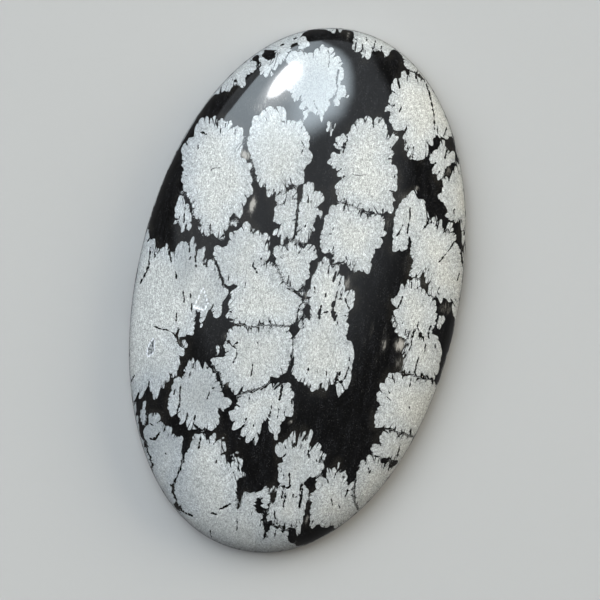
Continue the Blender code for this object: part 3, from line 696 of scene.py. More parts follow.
# On the back: how many, the tries at placing them, how far apart they are along the stone, which share of
# that across it, the height of their middles, half their width, and how much longer they are than wide
WILD_BACK_FLAKES = 44
WILD_BACK_TRIES = 4000
WILD_BACK_SPACING = 4.3
WILD_BACK_CLOSER = 0.75
WILD_BACK_HEIGHT = -0.3
WILD_BACK_HALVES = (1.7, 2.7)
WILD_BACK_LONGER = (1.15, 1.6)
# Round the wall: how many, how far they stray from even steps, and the same measures, with the share of
# their half width that they reach up and down
WILD_WALL_FLAKES = 46
WILD_WALL_STRAY = 0.3
WILD_WALL_HEIGHTS = (0.3, 2.4)
WILD_WALL_HALVES = (0.8, 1.7)
WILD_WALL_LONGER = (1.1, 1.5)
WILD_WALL_TALLER = 1.1

# The lava's flow, along which flakes and grain are drawn out, leans to the left of the stone's length
FLOW_LEAN = math.radians(7.0)

DARK_GLASS = (0.0035, 0.0036, 0.004)
SUNKEN_GREY = (0.40, 0.385, 0.35)
# How much of that grey the fine dust in the glass shows at most
GLASS_DUST = 0.10
HALO = (0.0145, 0.0135, 0.0115)
FLAKE_RIM = (0.525, 0.555, 0.56)
# The grey of the dulled flakes, also laid on as painted shade
FLAKE_DULL_AND_SHADE = (0.30, 0.325, 0.335)
FLAKE_CORE = (0.585, 0.60, 0.575)
PIT_BLUE = (0.030, 0.038, 0.055)
BRUISE = (0.82, 0.85, 0.88)

# Roughness of the glass, what the flakes and the bruises add to it, and the glass's refraction
GLASS_ROUGHNESS = 0.07
FLAKE_ROUGHNESS = 0.06
BRUISE_ROUGHNESS = 0.35
GLASS_IOR = 1.49

# The material's noises: so many features to a millimetre across and along the flow, the detail and, unless
# it is a half, how rough that detail is
WANDER_NOISE = (1.1, 0.6, 1.0)
SLIT_NOISE = (2.0, 1.2, 1.0)
BEAD_NOISE = (4.5, 3.2, 1.0)
FRAY_NOISE = (6.0, 4.0, 1.0)
FINE_NOISE = (9.0, 3.4, 3.0, 0.8)
CRUMB_NOISE = (13.0, 9.0, 1.0)
RAY_NOISE = (7.0, 7.0, 2.0, 0.6)
STREAK_NOISE = (3.2, 0.7, 3.0, 0.55)
CLOUD_NOISE = (0.45, 0.25, 2.0)
BAND_NOISE = (2.0, 0.3, 3.0, 0.65)
DUST_NOISE = (11.0, 9.0, 2.0, 0.6)
FLECK_NOISE = (4.5, 1.2, 4.0, 0.8)

# Its smooth steps: where each starts and ends and, unless they are 0 and 1, the results there
SLIT_CHANCE = (0.38, 0.68, 0.15, 1.3)
SLIT_LENGTHWISE = (0.5, 1.0, *SLIT_DEPTHS)
SEAM_BEADS = (0.32, 0.62, 0.25, 1.6)
FLAKE_EDGE = (-0.012, 0.022)
FLAKE_RIM_TO_CORE = (0.1, 1.9)
FINE_GRAIN = (0.3, 0.7, 0.62, 1.28)
STREAK_GRAIN = (0.3, 0.7, 0.93, 1.05)
RAY_GRAIN = (0.3, 0.7, 0.92, 1.07)
CRUMB_GRAIN = (0.3, 0.7, 0.68, 1.29)
CREASE_ACROSS = (0.0, CREASE_WIDTH, 1.0 - CREASE_TONE, 0.0)
CREASE_INWARD = (0.1, CREASE_REACH, 1.0, CREASE_LEFT)
HALO_OUTWARD = (-0.7, 0.0)
HALO_CLOUD = (0.45, 0.65)
GLASS_BANDS = (0.38, 0.75, 0.5, 2.4)
FINE_SPECKS = (0.35, 0.7, 0.3, 1.9)
CRUMB_SPECKS = (0.35, 0.75, 0.3, 2.2)
DUST_SPECKS = (0.58, 0.80, 0.0, GLASS_DUST)
SUNKEN_FLECKS = (0.56, 0.86, 0.1, 1.7)
BRUISE_GRAIN = (0.3, 0.6, 0.5, 1.4)
BRUISE_EDGE = (0.35, 0.75)
PIT_GRAIN = (0.42, 0.6, 1.0, 0.2)

# How far noise moves the edges of the wall's flakes, the seams and the flakes' cores, in millimetres
WILD_WANDER = 0.8
SEAM_FRAY = 0.14
CORE_WANDER = 1.6
# How much of their grain dulled places and places of painted shade lose, and how much more flecks show where
# a sunken flake is strong
DULLED_AND_SHADED_LOSS = 0.5
SUNKEN_GAIN = 0.35

# The camera looks straight down from this height at this place, and its frame is this wide there, all in
# millimetres. It is turned so that the stone leans this far to the right
VIEW_HEIGHT = 450.0
VIEW_CENTRE = (0.38, -0.76)
FRAME_WIDTH = 50.85
STONE_LEAN = math.radians(12.4)


def flat_size():
    """Half the width, half the length and the height of the stone, in millimetres, read from its solid."""
    low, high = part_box("cabochon")
    return (high[0] - low[0]) / 2.0 / MM, (high[1] - low[1]) / 2.0 / MM, (high[2] - low[2]) / MM


HALF_WIDTH, HALF_LENGTH, HEIGHT = flat_size()


def oval(angle):
    """Unit outline at an angle: its x and y, each between -1 and 1."""
    power = 2.0 / OUTLINE_FULLNESS
    across = np.cos(angle)
    along = np.sin(angle)
    return np.sign(across) * np.abs(across) ** power, np.sign(along) * np.abs(along) ** power


def section(turn):
    """How far in and how high the dome's section is, for a turn of 0 at the bevel to a quarter at the top."""
    power = 2.0 / DOME_FULLNESS
    inset_share = 1.0 - np.cos(turn) ** power
    return inset_share, BACK_BEVEL + (HEIGHT - BACK_BEVEL) * np.sin(turn) ** power


def section_run():
    """Turns from the top to the bevel and how far along the section, across the width, each one lies."""
    turns = np.linspace(math.pi / 2.0, 0.0, SECTION_SAMPLES)
    inset_share, height = section(turns)
    steps = np.hypot(np.diff(inset_share) * HALF_WIDTH, np.diff(height))
    return turns, np.concatenate(([0.0], np.cumsum(steps)))


def oval_grid(across_steps, along_steps):
    """A rectangular grid bent into an oval: how far out each point is, its angle, and the rim in order."""
    u = np.arange(-across_steps, across_steps + 1) / across_steps
    v = np.arange(-along_steps, along_steps + 1) / along_steps
    u, v = (part.ravel() for part in np.meshgrid(u, v, indexing="ij"))
    wide = np.abs(u) >= np.abs(v)
    safe_u = np.where(u == 0.0, 1.0, u)
    safe_v = np.where(v == 0.0, 1.0, v)
    on_sides = np.where(u < 0.0, math.pi, 0.0) + (math.pi / 4.0) * v / safe_u
    on_ends = np.where(v < 0.0, -math.pi / 2.0, math.pi / 2.0) - (math.pi / 4.0) * u / safe_v
    share = np.maximum(np.abs(u), np.abs(v))
    angle = np.where(wide, on_sides, on_ends)
    rim = np.flatnonzero(share == 1.0)
    return share, angle, rim[np.argsort(np.mod(angle[rim], 2.0 * math.pi))]


def grid_faces(across_steps, along_steps):
    """The four-sided faces of a rectangular grid, anticlockwise, as rows of point numbers."""
    column = 2 * along_steps + 1
    starts = np.arange(2 * across_steps) * column
    corner = (starts[:, None] + np.arange(2 * along_steps)[None, :]).ravel()
    return np.stack([corner, corner + column, corner + column + 1, corner + 1], axis=1)


def dome_points(share, angle):
    """Points of the dome, spread so that steps across the width are equal along its skin."""
    turns, run = section_run()
    inset_share, height = section(np.interp(share * run[-1], run, turns))
    inset = HALF_WIDTH * inset_share
    extra = (HALF_LENGTH - HALF_WIDTH) * inset_share**RIDGE_POWER
    across, along = oval(angle)
    return np.stack([(HALF_WIDTH - inset) * across, (HALF_LENGTH - inset - extra) * along, height], axis=1)


def level_ring(inset, height, angle):
    """Points at one height all round, this far inside the widest outline."""
    across, along = oval(angle)
    flat = np.full(len(angle), height)
    return np.stack([(HALF_WIDTH - inset) * across, (HALF_LENGTH - inset) * along, flat], axis=1)


def on_map(place, share, angle):
    """Points of the UV map: an oval of a given share of its full size round the centre of a place."""
    centre_u, centre_v, half_u, half_v = place
    across, along = oval(angle)
    return np.stack([centre_u + half_u * share * across, centre_v + half_v * share * along], axis=1)


class Surface:
    """Points, faces and the two UV maps of the stone, gathered before one mesh is made of them."""

    def __init__(self):
        self.points = []
        self.top_map = []
        self.back_map = []
        self.faces = []
        self.on_back = []
        self.count = 0

    def add_points(self, points, top_map, back_map):
        first = self.count
        self.points.append(points)
        self.top_map.append(top_map)
        self.back_map.append(back_map)
        self.count += len(points)
        return first

    def add_faces(self, faces, on_back):
        self.faces.extend(faces.tolist())
        self.on_back.extend([on_back] * len(faces))


def band_between(outer, inner):
    """Four-sided faces between two rings of as many points, the first one above the other."""
    return np.stack([outer, inner, np.roll(inner, -1), np.roll(outer, -1)], axis=1)


def fan_between(fine, coarse):
    """Triangles from a ring to a coarser one that has a point for each few of the first."""
    share = len(fine) // len(coarse)
    faces = []
    for step, here in enumerate(coarse):
        after = coarse[(step + 1) % len(coarse)]
        stretch = [fine[(step * share + k) % len(fine)] for k in range(share + 1)]
        middle = share // 2 + 1
        faces += [(stretch[k], here, stretch[k + 1]) for k in range(middle)]
        faces.append((stretch[middle], here, after))
        faces += [(stretch[k], after, stretch[k + 1]) for k in range(middle, share)]
    return np.array(faces)


def add_dome(surface, dome_share):
    """Adds the dome, and gives its rim's points in order and their angles."""
    share, angle, rim = oval_grid(*DOME_STEPS)
    top_map = on_map(DOME_MAP, dome_share * share, angle)
    surface.add_points(dome_points(share, angle), top_map, top_map)
    surface.add_faces(grid_faces(*DOME_STEPS), False)
    return rim, angle[rim]


def add_bevel(surface, above, rim_angle, dome_share):
    """Adds the bevel's rings below the dome's rim, and gives the lowest one's points."""
    for step, (inset, height) in enumerate(BEVEL_RINGS, start=1):
        bevel_share = dome_share + (1.0 - dome_share) * step / len(BEVEL_RINGS)
        first = surface.add_points(
            level_ring(inset, height, rim_angle),
            on_map(DOME_MAP, bevel_share, rim_angle),
            on_map(BACK_MAP, 1.0, rim_angle),
        )
        below = first + np.arange(len(rim_angle))
        surface.add_faces(band_between(above, below), False)
        above = below
    return above


def add_back(surface, above):
    """Adds the flat back inside the bevel's lowest ring."""
    share, angle, rim = oval_grid(*BACK_STEPS)
    across, along = oval(angle)
    half_width = HALF_WIDTH - BACK_RIM_INSET
    half_length = HALF_LENGTH - BACK_RIM_INSET
    back = np.stack([half_width * share * across, half_length * share * along, np.zeros(len(share))], axis=1)
    back_share = half_width / (HALF_WIDTH - BEVEL_RINGS[-1][0])
    back_map = on_map(BACK_MAP, back_share * share, angle)
    first = surface.add_points(back, back_map, back_map)
    surface.add_faces(first + grid_faces(*BACK_STEPS)[:, ::-1], True)
    surface.add_faces(fan_between(above, first + rim), True)


def stone_surface():
    """The whole skin of the stone: dome, softened bevel and flat back."""
    surface = Surface()
    dome_run = section_run()[1][-1]
    dome_share = dome_run / (dome_run + BACK_BEVEL * math.sqrt(2.0))
    rim, rim_angle = add_dome(surface, dome_share)
    add_back(surface, add_bevel(surface, rim, rim_angle, dome_share))
    return surface


def outline_distance(points, outline):
    """Distance of each point to a closed outline, positive inside it."""
    nearest = np.full(len(points), np.inf)
    inside = np.zeros(len(points), dtype=bool)
    corners = np.array(outline)
    for start, end in zip(corners, np.roll(corners, -1, axis=0)):
        along = end - start
        offset = points - start
        share = np.clip(offset @ along / (along @ along), 0.0, 1.0)
        gap = offset - share[:, None] * along
        nearest = np.minimum(nearest, (gap**2).sum(axis=1))
        if along[1] != 0.0:
            crosses = (start[1] > points[:, 1]) != (end[1] > points[:, 1])
            inside ^= crosses & (offset[:, 0] < along[0] * offset[:, 1] / along[1])
    return np.where(inside, 1.0, -1.0) * np.sqrt(nearest)


def close_to(points, outline, reach):
    """The points that lie no further from an outline's box than the reach."""
    corners = np.array(outline)
    above_low = (points > corners.min(axis=0) - reach).all(axis=1)
    below_high = (points < corners.max(axis=0) + reach).all(axis=1)
    return np.flatnonzero(above_low & below_high)


class Growth:
    """How far inside the flakes each point lies: the best and the second best, and which flakes they are."""

    def __init__(self, count):
        self.first = np.full(count, -REACH)
        self.second = np.full(count, -REACH)
        self.first_flake = np.zeros(count, dtype=int)
        self.second_flake = np.zeros(count, dtype=int)

    def offer(self, near, growth, flake):
        wins = growth > self.first[near]
        beaten = near[wins]
        self.second[beaten] = self.first[beaten]
        self.second_flake[beaten] = self.first_flake[beaten]
        self.first[beaten] = growth[wins]
        self.first_flake[beaten] = flake
        placed = ~wins & (growth > self.second[near])
        self.second[near[placed]] = growth[placed]
        self.second_flake[near[placed]] = flake

    def boundary(self):
        """Signed distance to the line where two flakes meet, and that line's half width."""
        side = np.where(self.first_flake < self.second_flake, 0.5, -0.5) * (self.first - self.second)
        touching = np.maximum(-MEETING_REACH - self.second, 0.0)
        return side, MEETING_WIDTH / 2.0 - SEAM_FADE * touching


class Seams:
    """The nearest dark seam of each point: signed distance to its middle line, and its half width there.

    The sign changes over the line, so that the line stays sharp between the mesh's points.
    """

    def __init__(self, count):
        self.side = np.full(count, REACH)
        self.half = np.full(count, -REACH)

    def offer(self, near, side, half):
        half = half - SEAM_FADE * np.maximum(np.abs(side) - SEAM_REACH, 0.0)
        closer = np.abs(side) - half < np.abs(self.side[near]) - self.half[near]
        self.side[near[closer]] = side[closer]
        self.half[near[closer]] = half[closer]

    def draw(self, points, width, path):
        near = close_to(points, path, SEAM_FURTHEST)
        side, past = line_place(points[near], path)
        self.offer(near, side, width / 2.0 - past)


def line_place(points, path):
    """Signed distance of each point to an open line, and how far past one of its ends the point lies."""
    nearest = np.full(len(points), np.inf)
    side = np.zeros(len(points))
    past = np.zeros(len(points))
    corners = np.array(path)
    last = len(corners) - 2
    for step, (start, end) in enumerate(zip(corners, corners[1:])):
        along = end - start
        length = math.hypot(*along)
        offset = points - start
        run = offset @ along / length
        across = (along[0] * offset[:, 1] - along[1] * offset[:, 0]) / length
        beyond = np.maximum(np.maximum(-run, run - length), 0.0)
        distance = np.hypot(across, beyond)
        at_end = ((run < 0.0) & (step == 0)) | ((run > length) & (step == last))
        closer = distance < nearest
        nearest[closer] = distance[closer]
        side[closer] = np.where(at_end, across, np.copysign(distance, across))[closer]
        past[closer] = np.where(at_end, beyond, 0.0)[closer]
    return side, past


def slit_inward(here, inward, chance):
    """One bent slit in from a notch, as its width and the points of its line."""
    length = chance.uniform(*NICK_LENGTHS) * (NICK_LEVEL_SHARE + abs(inward.y))
    bend = Vector((-inward.y, inward.x)) * chance.uniform(-NICK_BEND, NICK_BEND) * length
    middle = here + inward * length * 0.5 + bend
    end = here + inward * length
    width = chance.uniform(*NICK_WIDTHS)
    return width, tuple(map(tuple, (here - inward * NICK_START, middle, end)))


def nicks():
    """Short dark slits that run in from the notches of the flakes' outlines, between their lobes."""
    chance = random.Random(NICK_SEED)
    slits = []
    for outline in FLAKES:
        corners = [Vector(corner) for corner in outline]
        following = corners[1:] + corners[:1]
        turning = math.copysign(1.0, sum(a.cross(b) for a, b in zip(corners, following)))
        for before, here, after in zip(corners[-1:] + corners[:-1], corners, following):
            came = (here - before).normalized()
            goes = (after - here).normalized()
            if came.cross(goes) * turning > -NICK_SHARPNESS or chance.random() > NICK_SHARE:
                continue
            inward = (came - goes).normalized()
            inward = (inward + Vector((0.0, math.copysign(NICK_UPRIGHT, inward.y)))).normalized()
            slit = slit_inward(here, inward, chance)
            if all(math.hypot(here.x - x, here.y - y) > radius for x, y, radius in SMALL_LOBES):
                slits.append(slit)
    return slits


def spokes(points, middles, half_sizes, flake):
    """Places round the middle of each point's flake, so that a pattern in them runs outward from there.

    With them comes how much each spoke runs lengthwise, from 0 to 1.
    """
    offset = (points - middles[flake]) / half_sizes[flake]
    out = np.sqrt((offset**2).sum(axis=1, keepdims=True))
    radius = np.sqrt(half_sizes[flake][:, :1] * half_sizes[flake][:, 1:2])
    ray = offset / np.maximum(out, 0.001)
    place = radius * ray
    place[:, 2] += SPOKE_DRIFT * (radius * out)[:, 0] + FLAKE_APART * flake
    return place, np.abs(ray[:, 1])


def pattern_from_above(points):
    """Growth and spokes of the flakes that were read by eye, and the dark seams in and between them."""
    growth = Growth(len(points))
    for number, outline in enumerate(FLAKES):
        near = close_to(points, outline, REACH)
        growth.offer(near, outline_distance(points[near], outline), number)
    for outline in HOLES:
        near = close_to(points, outline, REACH)
        growth.first[near] = np.minimum(growth.first[near], -outline_distance(points[near], outline))
    seams = Seams(len(points))
    seams.offer(np.arange(len(points)), *growth.boundary())
    for width, path in [*SEAMS, *nicks()]:
        seams.draw(points, width, path)
    corners = [np.array(outline) for outline in FLAKES]
    middles = np.array([[*(part.max(axis=0) + part.min(axis=0)) / 2.0, 0.0] for part in corners])
    half_sizes = np.array([[*(part.max(axis=0) - part.min(axis=0)) / 2.0, 1.0] for part in corners])
    level = np.column_stack([points, np.zeros(len(points))])
    return growth.first, spokes(level, middles, half_sizes, growth.first_flake), seams


def patch_strength(points, patches):
    """How strongly soft round patches show at each point, from 0 to 1."""
    strength = np.zeros(len(points))
    for x, y, half_x, half_y, most in patches:
        offset = (points - (x, y)) / (half_x, half_y)
        strength = np.maximum(strength, most * np.exp(-((offset**2).sum(axis=1)) ** PATCH_FULLNESS))
    return strength


def wild_back_flakes(chance):
    """Middles and half sizes of random flakes of the back, none too near another."""
    flakes = []
    for _ in range(WILD_BACK_TRIES):
        if len(flakes) == WILD_BACK_FLAKES:
            break
        x = chance.uniform(-HALF_WIDTH, HALF_WIDTH)
        y = chance.uniform(-HALF_LENGTH, HALF_LENGTH)
        gaps = [math.hypot(x - other[0], (y - other[1]) * WILD_BACK_CLOSER) for other in flakes]
        apart = all(gap > WILD_BACK_SPACING * WILD_BACK_CLOSER for gap in gaps)
        if apart and (x / HALF_WIDTH) ** 2 + (y / HALF_LENGTH) ** 2 < 1.0:
            half = chance.uniform(*WILD_BACK_HALVES)
            flakes.append((x, y, WILD_BACK_HEIGHT, half, half * chance.uniform(*WILD_BACK_LONGER), half))
    return flakes


def wild_wall_flakes(chance):
    """Middles and half sizes of random flakes in a row round the wall."""
    flakes = []
    for step in range(WILD_WALL_FLAKES):
        stray = chance.uniform(-WILD_WALL_STRAY, WILD_WALL_STRAY)
        across, along = oval(np.array([2.0 * math.pi * (step + stray) / WILD_WALL_FLAKES]))
        half = chance.uniform(*WILD_WALL_HALVES)
        height = chance.uniform(*WILD_WALL_HEIGHTS)
        half_along = half * chance.uniform(*WILD_WALL_LONGER)
        middle = (across[0] * HALF_WIDTH, along[0] * HALF_LENGTH, height)
        flakes.append((*middle, half, half_along, half * WILD_WALL_TALLER))
    return flakes


def wild_pattern(points):
    """Growth, spokes and seams of the random flakes at each point in space."""
    growth = Growth(len(points))
    everywhere = np.arange(len(points))
    chance = random.Random(WILD_SEED)
    flakes = np.array([*wild_back_flakes(chance), *wild_wall_flakes(chance)])
    middles, half_sizes = flakes[:, :3], flakes[:, 3:]
    for number, (middle, half_size) in enumerate(zip(middles, half_sizes)):
        offset = (points - middle) / half_size
        growth.offer(everywhere, (1.0 - np.sqrt((offset**2).sum(axis=1))) * half_size[0], number)
    seams = Seams(len(points))
    seams.offer(everywhere, *growth.boundary())
    return growth.first, spokes(points, middles, half_sizes, growth.first_flake), seams


def smooth_share(value, start, end):
    """How far a value has come from start to end, from 0 to 1, slow at both ends."""
    share = np.clip((value - start) / (end - start), 0.0, 1.0)
    return share * share * (3.0 - 2.0 * share)


def sink_marks(points):
    """Lowers the chip and the pit into the polish: how bruised each point is, and how far in the pit."""
    flat = seen_from_above(points)
    on_top = points[:, 2] > WILD_FROM
    bruise = np.zeros(len(points))
    hollow = np.zeros(len(points))
    for outline, depth in ((CHIP, CHIP_DEPTH), (PIT, PIT_DEPTH)):
        near = close_to(flat, outline, REACH)
        near = near[on_top[near]]
        inside = outline_distance(flat[near], outline)
        points[near, 2] -= depth * smooth_share(inside, 0.0, MARK_SLOPE)
        bruise[near] = np.maximum(bruise[near], 1.0 - np.abs(inside) / BRUISE_WIDTH)
        if outline is PIT:
            hollow[near] = smooth_share(inside, 0.0, HOLLOW_EDGE)
    return np.clip(bruise, 0.0, 1.0), hollow


def seen_from_above(points):
    """Where each point seems to lie on the table, seen by the camera, as all the marks were read."""
    nearness = VIEW_HEIGHT / (VIEW_HEIGHT - points[:, 2:])
    return VIEW_CENTRE + (points[:, :2] - VIEW_CENTRE) * nearness


def surface_values(points):
    """What the material needs to know at each point, by attribute name."""
    flat = seen_from_above(points)
    wild = smooth_share(points[:, 2], WILD_FROM, WILD_FULL)
    growth, (spoke, lengthwise), seams = pattern_from_above(flat)
    wild_growth, (wild_spoke, wild_lengthwise), wild_seams = wild_pattern(points)
    mostly_wild = wild > 0.5
    bruise, hollow = sink_marks(points)
    return {
        "growth": np.clip((1.0 - wild) * growth + wild * wild_growth, -REACH, None),
        "spoke": np.where(mostly_wild[:, None], wild_spoke, spoke),
        "lengthwise": np.where(mostly_wild, wild_lengthwise, lengthwise),
        "seam_side": np.where(mostly_wild, wild_seams.side, seams.side),
        "seam_half": np.where(mostly_wild, wild_seams.half, seams.half),
        "wild": wild,
        "sunken": patch_strength(flat, SUNKEN) * (1.0 - wild),
        "dulled_and_shaded": patch_strength(flat, DULLED_AND_SHADED) * (1.0 - wild),
        "bruise": bruise,
        "hollow": hollow,
    }


def make_stone():
    """The stone's mesh with its shape, its UV map and the values that its material reads."""
    surface = stone_surface()
    points = np.concatenate(surface.points)
    values = surface_values(points)
    mesh = bpy.data.meshes.new("stone")
    mesh.from_pydata((points * MM).tolist(), [], surface.faces)
    for name, value in values.items():
        kind, slot = ("FLOAT", "value") if value.ndim == 1 else ("FLOAT_VECTOR", "vector")
        mesh.attributes.new(name, kind, "POINT").data.foreach_set(slot, value.astype(np.float32).ravel())
    corner_points = np.empty(len(mesh.loops), dtype=np.int32)
    mesh.loops.foreach_get("vertex_index", corner_points)
    corners_per_face = [len(face) for face in surface.faces]
    on_back = np.repeat(surface.on_back, corners_per_face)
    top_map = np.concatenate(surface.top_map)[corner_points]
    back_map = np.concatenate(surface.back_map)[corner_points]
    spread = mesh.uv_layers.new(name="OFBake")
    spread.data.foreach_set("uv", np.where(on_back[:, None], back_map, top_map).astype(np.float32).ravel())
    mesh.shade_smooth()
    stone = bpy.data.objects.new("stone", mesh)
    bpy.context.scene.collection.objects.link(stone)
    return stone


class Nodes:
    """Short names for the shader nodes that the material is wired from."""

    def __init__(self, material):
        material.use_nodes = True
        self.tree = material.node_tree
        self.shader = self.tree.nodes["Principled BSDF"]

    def put(self, socket, value):
        if isinstance(value, bpy.types.NodeSocket):
            self.tree.links.new(value, socket)
        else:
            socket.default_value = value

    def add(self, kind, settings=None, **inputs):
        node = self.tree.nodes.new(kind)
        for name, value in (settings or {}).items():
            setattr(node, name, value)
        for name, value in inputs.items():
            self.put(node.inputs[name.replace("_", " ")], value)
        return node

    def math(self, operation, *values):
        node = self.add("ShaderNodeMath", {"operation": operation})
        for socket, value in zip(node.inputs, values):
            self.put(socket, value)
        return node.outputs[0]

    def ramp(self, value, start, end, low=0.0, high=1.0):
        """A smooth step of the value from start to end."""
        node = self.add("ShaderNodeMapRange", {"interpolation_type": "SMOOTHSTEP"})
        names = ("Value", "From Min", "From Max", "To Min", "To Max")
        for name, given in zip(names, (value, start, end, low, high)):
            self.put(node.inputs[name], given)
        return node.outputs["Result"]

    def attribute(self, name, output="Fac"):
        return self.add("ShaderNodeAttribute", {"attribute_name": name}).outputs[output]

    def stretched(self, place, across, along):
        """Places scaled to so many features a millimetre across and along the flow."""
        node = self.add("ShaderNodeMapping", {"vector_type": "POINT"}, Scale=(across, along, across))
        self.put(node.inputs["Vector"], place)
        return node.outputs["Vector"]

    def noise(self, place, across, along, detail=2.0, rough=0.5):
        node = self.add("ShaderNodeTexNoise", None, Scale=1.0, Detail=detail, Roughness=rough)
        self.put(node.inputs["Vector"], self.stretched(place, across, along))
        return node.outputs["Fac"]

    def cells(self, place, across, along, feature="F1"):
        node = self.add("ShaderNodeTexVoronoi", {"feature": feature}, Scale=1.0)
        self.put(node.inputs["Vector"], self.stretched(place, across, along))
        return node.outputs["Distance"]

    def blend(self, share, first, second):
        node = self.add("ShaderNodeMix", {"data_type": "RGBA"})
        self.put(node.inputs["Factor"], share)
        for socket, value in ((node.inputs[6], first), (node.inputs[7], second)):
            self.put(socket, value if isinstance(value, bpy.types.NodeSocket) else (*value, 1.0))
        return node.outputs[2]

    def rgb(self, colour):
        node = self.tree.nodes.new("ShaderNodeRGB")
        node.outputs[0].default_value = (*colour, 1.0)
        return node.outputs[0]

    def scale_colour(self, colour, factor):
        node = self.add("ShaderNodeVectorMath", {"operation": "SCALE"})
        self.put(node.inputs[0], colour)
        self.put(node.inputs["Scale"], factor)
        return node.outputs[0]


def flow_place(nodes):
    """Each point's place in millimetres, turned so that its second axis runs along the flow."""
    place = nodes.add("ShaderNodeTexCoord").outputs["Object"]
    turned = nodes.add("ShaderNodeMapping", {"vector_type": "POINT"}, Scale=(1.0 / MM,) * 3)
    turned.inputs["Rotation"].default_value = (0.0, 0.0, -FLOW_LEAN)
    nodes.put(turned.inputs["Vector"], place)
    return turned.outputs["Vector"]


def lobed_edge(nodes, place, growth, spoke):
    """Signed distance to the flakes' edge with its row of lobes."""
    wild = nodes.attribute("wild")
    lobe_height = nodes.math("MULTIPLY_ADD", wild, WILD_LOBE_HEIGHT - LOBE_HEIGHT, LOBE_HEIGHT)
    lobe = nodes.math("SUBTRACT", LOBE_MEAN, nodes.math("POWER", nodes.cells(spoke, LOBES, LOBES), 2.0))
    lobed = nodes.math("MULTIPLY_ADD", lobe, lobe_height, growth)
    wander = nodes.math("SUBTRACT", nodes.noise(place, *WANDER_NOISE), 0.5)
    lobed = nodes.math("MULTIPLY_ADD", nodes.math("MULTIPLY", wander, wild), WILD_WANDER, lobed)
    return nodes.math("ADD", lobed, FLAKE_SWELL)


def slit_edge(nodes, place, growth, gap):
    """Signed distance to the slits between the lobes, which narrow to nothing at their depth."""
    chance = nodes.ramp(nodes.noise(place, *SLIT_NOISE), *SLIT_CHANCE)
    depth = nodes.math("MULTIPLY", nodes.ramp(nodes.attribute("lengthwise"), *SLIT_LENGTHWISE), chance)
    share = nodes.math("DIVIDE", nodes.math("ADD", growth, FLAKE_SWELL), depth)
    half = nodes.math("MULTIPLY_ADD", nodes.math("MAXIMUM", share, 0.0), -SLIT_HALF, SLIT_HALF)
    return nodes.math("SUBTRACT", gap, half)


def seam_edge(nodes, place):
    """Signed distance to the seams, beaded in width and frayed."""
    beads = nodes.ramp(nodes.noise(place, *BEAD_NOISE), *SEAM_BEADS)
    half = nodes.attribute("seam_half")
    beaded = nodes.math("MULTIPLY", nodes.math("MAXIMUM", half, 0.0), beads)
    half = nodes.math("ADD", beaded, nodes.math("MINIMUM", half, 0.0))
    frayed = nodes.math("SUBTRACT", nodes.noise(place, *FRAY_NOISE), 0.5)
    side = nodes.math("MULTIPLY_ADD", frayed, SEAM_FRAY, nodes.attribute("seam_side"))
    return nodes.math("SUBTRACT", nodes.math("ABSOLUTE", side), half)


def flake_colour(nodes, place, growth, gap, fine, crumbs, cloud):
    """The flakes: bluer at their rims, greyer and bluer where dulled and where shade is painted, grained all
    over and creased along their spokes.
    """
    core_growth = nodes.math("MULTIPLY_ADD", nodes.math("SUBTRACT", cloud, 0.5), CORE_WANDER, growth)
    core = nodes.ramp(core_growth, *FLAKE_RIM_TO_CORE)
    streaks = nodes.noise(place, *STREAK_NOISE)
    rays = nodes.noise(nodes.attribute("spoke", "Vector"), *RAY_NOISE)
    grain = nodes.ramp(fine, *FINE_GRAIN)
    for part, steps in ((streaks, STREAK_GRAIN), (rays, RAY_GRAIN), (crumbs, CRUMB_GRAIN)):
        grain = nodes.math("MULTIPLY", grain, nodes.ramp(part, *steps))
    crease = nodes.math("MULTIPLY", nodes.ramp(gap, *CREASE_ACROSS), nodes.ramp(growth, *CREASE_INWARD))
    grain = nodes.math("MULTIPLY", grain, nodes.math("SUBTRACT", 1.0, crease))
    # Painted shade as well as dulled flakes: this patch strength darkens and blues the flakes
    dulled_and_shaded = nodes.attribute("dulled_and_shaded")
    contrast = nodes.math("MULTIPLY_ADD", dulled_and_shaded, -DULLED_AND_SHADED_LOSS, 1.0)
    grain = nodes.math("MULTIPLY_ADD", nodes.math("SUBTRACT", grain, 1.0), contrast, 1.0)
    flake = nodes.blend(dulled_and_shaded, nodes.blend(core, FLAKE_RIM, FLAKE_CORE), FLAKE_DULL_AND_SHADE)
    return nodes.scale_colour(flake, grain)


def glass_colour(nodes, place, edge, fine, crumbs, cloud):
    """The black glass: specks in bands along the flow, a halo round some flakes, dust, and sunken flakes."""
    halo = nodes.math("MULTIPLY", nodes.ramp(edge, *HALO_OUTWARD), nodes.ramp(cloud, *HALO_CLOUD))
    specks = nodes.ramp(nodes.noise(place, *BAND_NOISE), *GLASS_BANDS)
    specks = nodes.math("MULTIPLY", specks, nodes.ramp(fine, *FINE_SPECKS))
    specks = nodes.math("MULTIPLY", specks, nodes.ramp(crumbs, *CRUMB_SPECKS))
    glass = nodes.blend(halo, nodes.scale_colour(nodes.rgb(DARK_GLASS), specks), HALO)
    dust = nodes.ramp(nodes.noise(place, *DUST_NOISE), *DUST_SPECKS)
    glass = nodes.blend(dust, glass, SUNKEN_GREY)
    sunken = nodes.attribute("sunken")
    flecks = nodes.math("MULTIPLY_ADD", sunken, SUNKEN_GAIN, nodes.noise(place, *FLECK_NOISE))
    veiled = nodes.math("MULTIPLY", sunken, nodes.ramp(flecks, *SUNKEN_FLECKS))
    return nodes.blend(veiled, glass, SUNKEN_GREY)


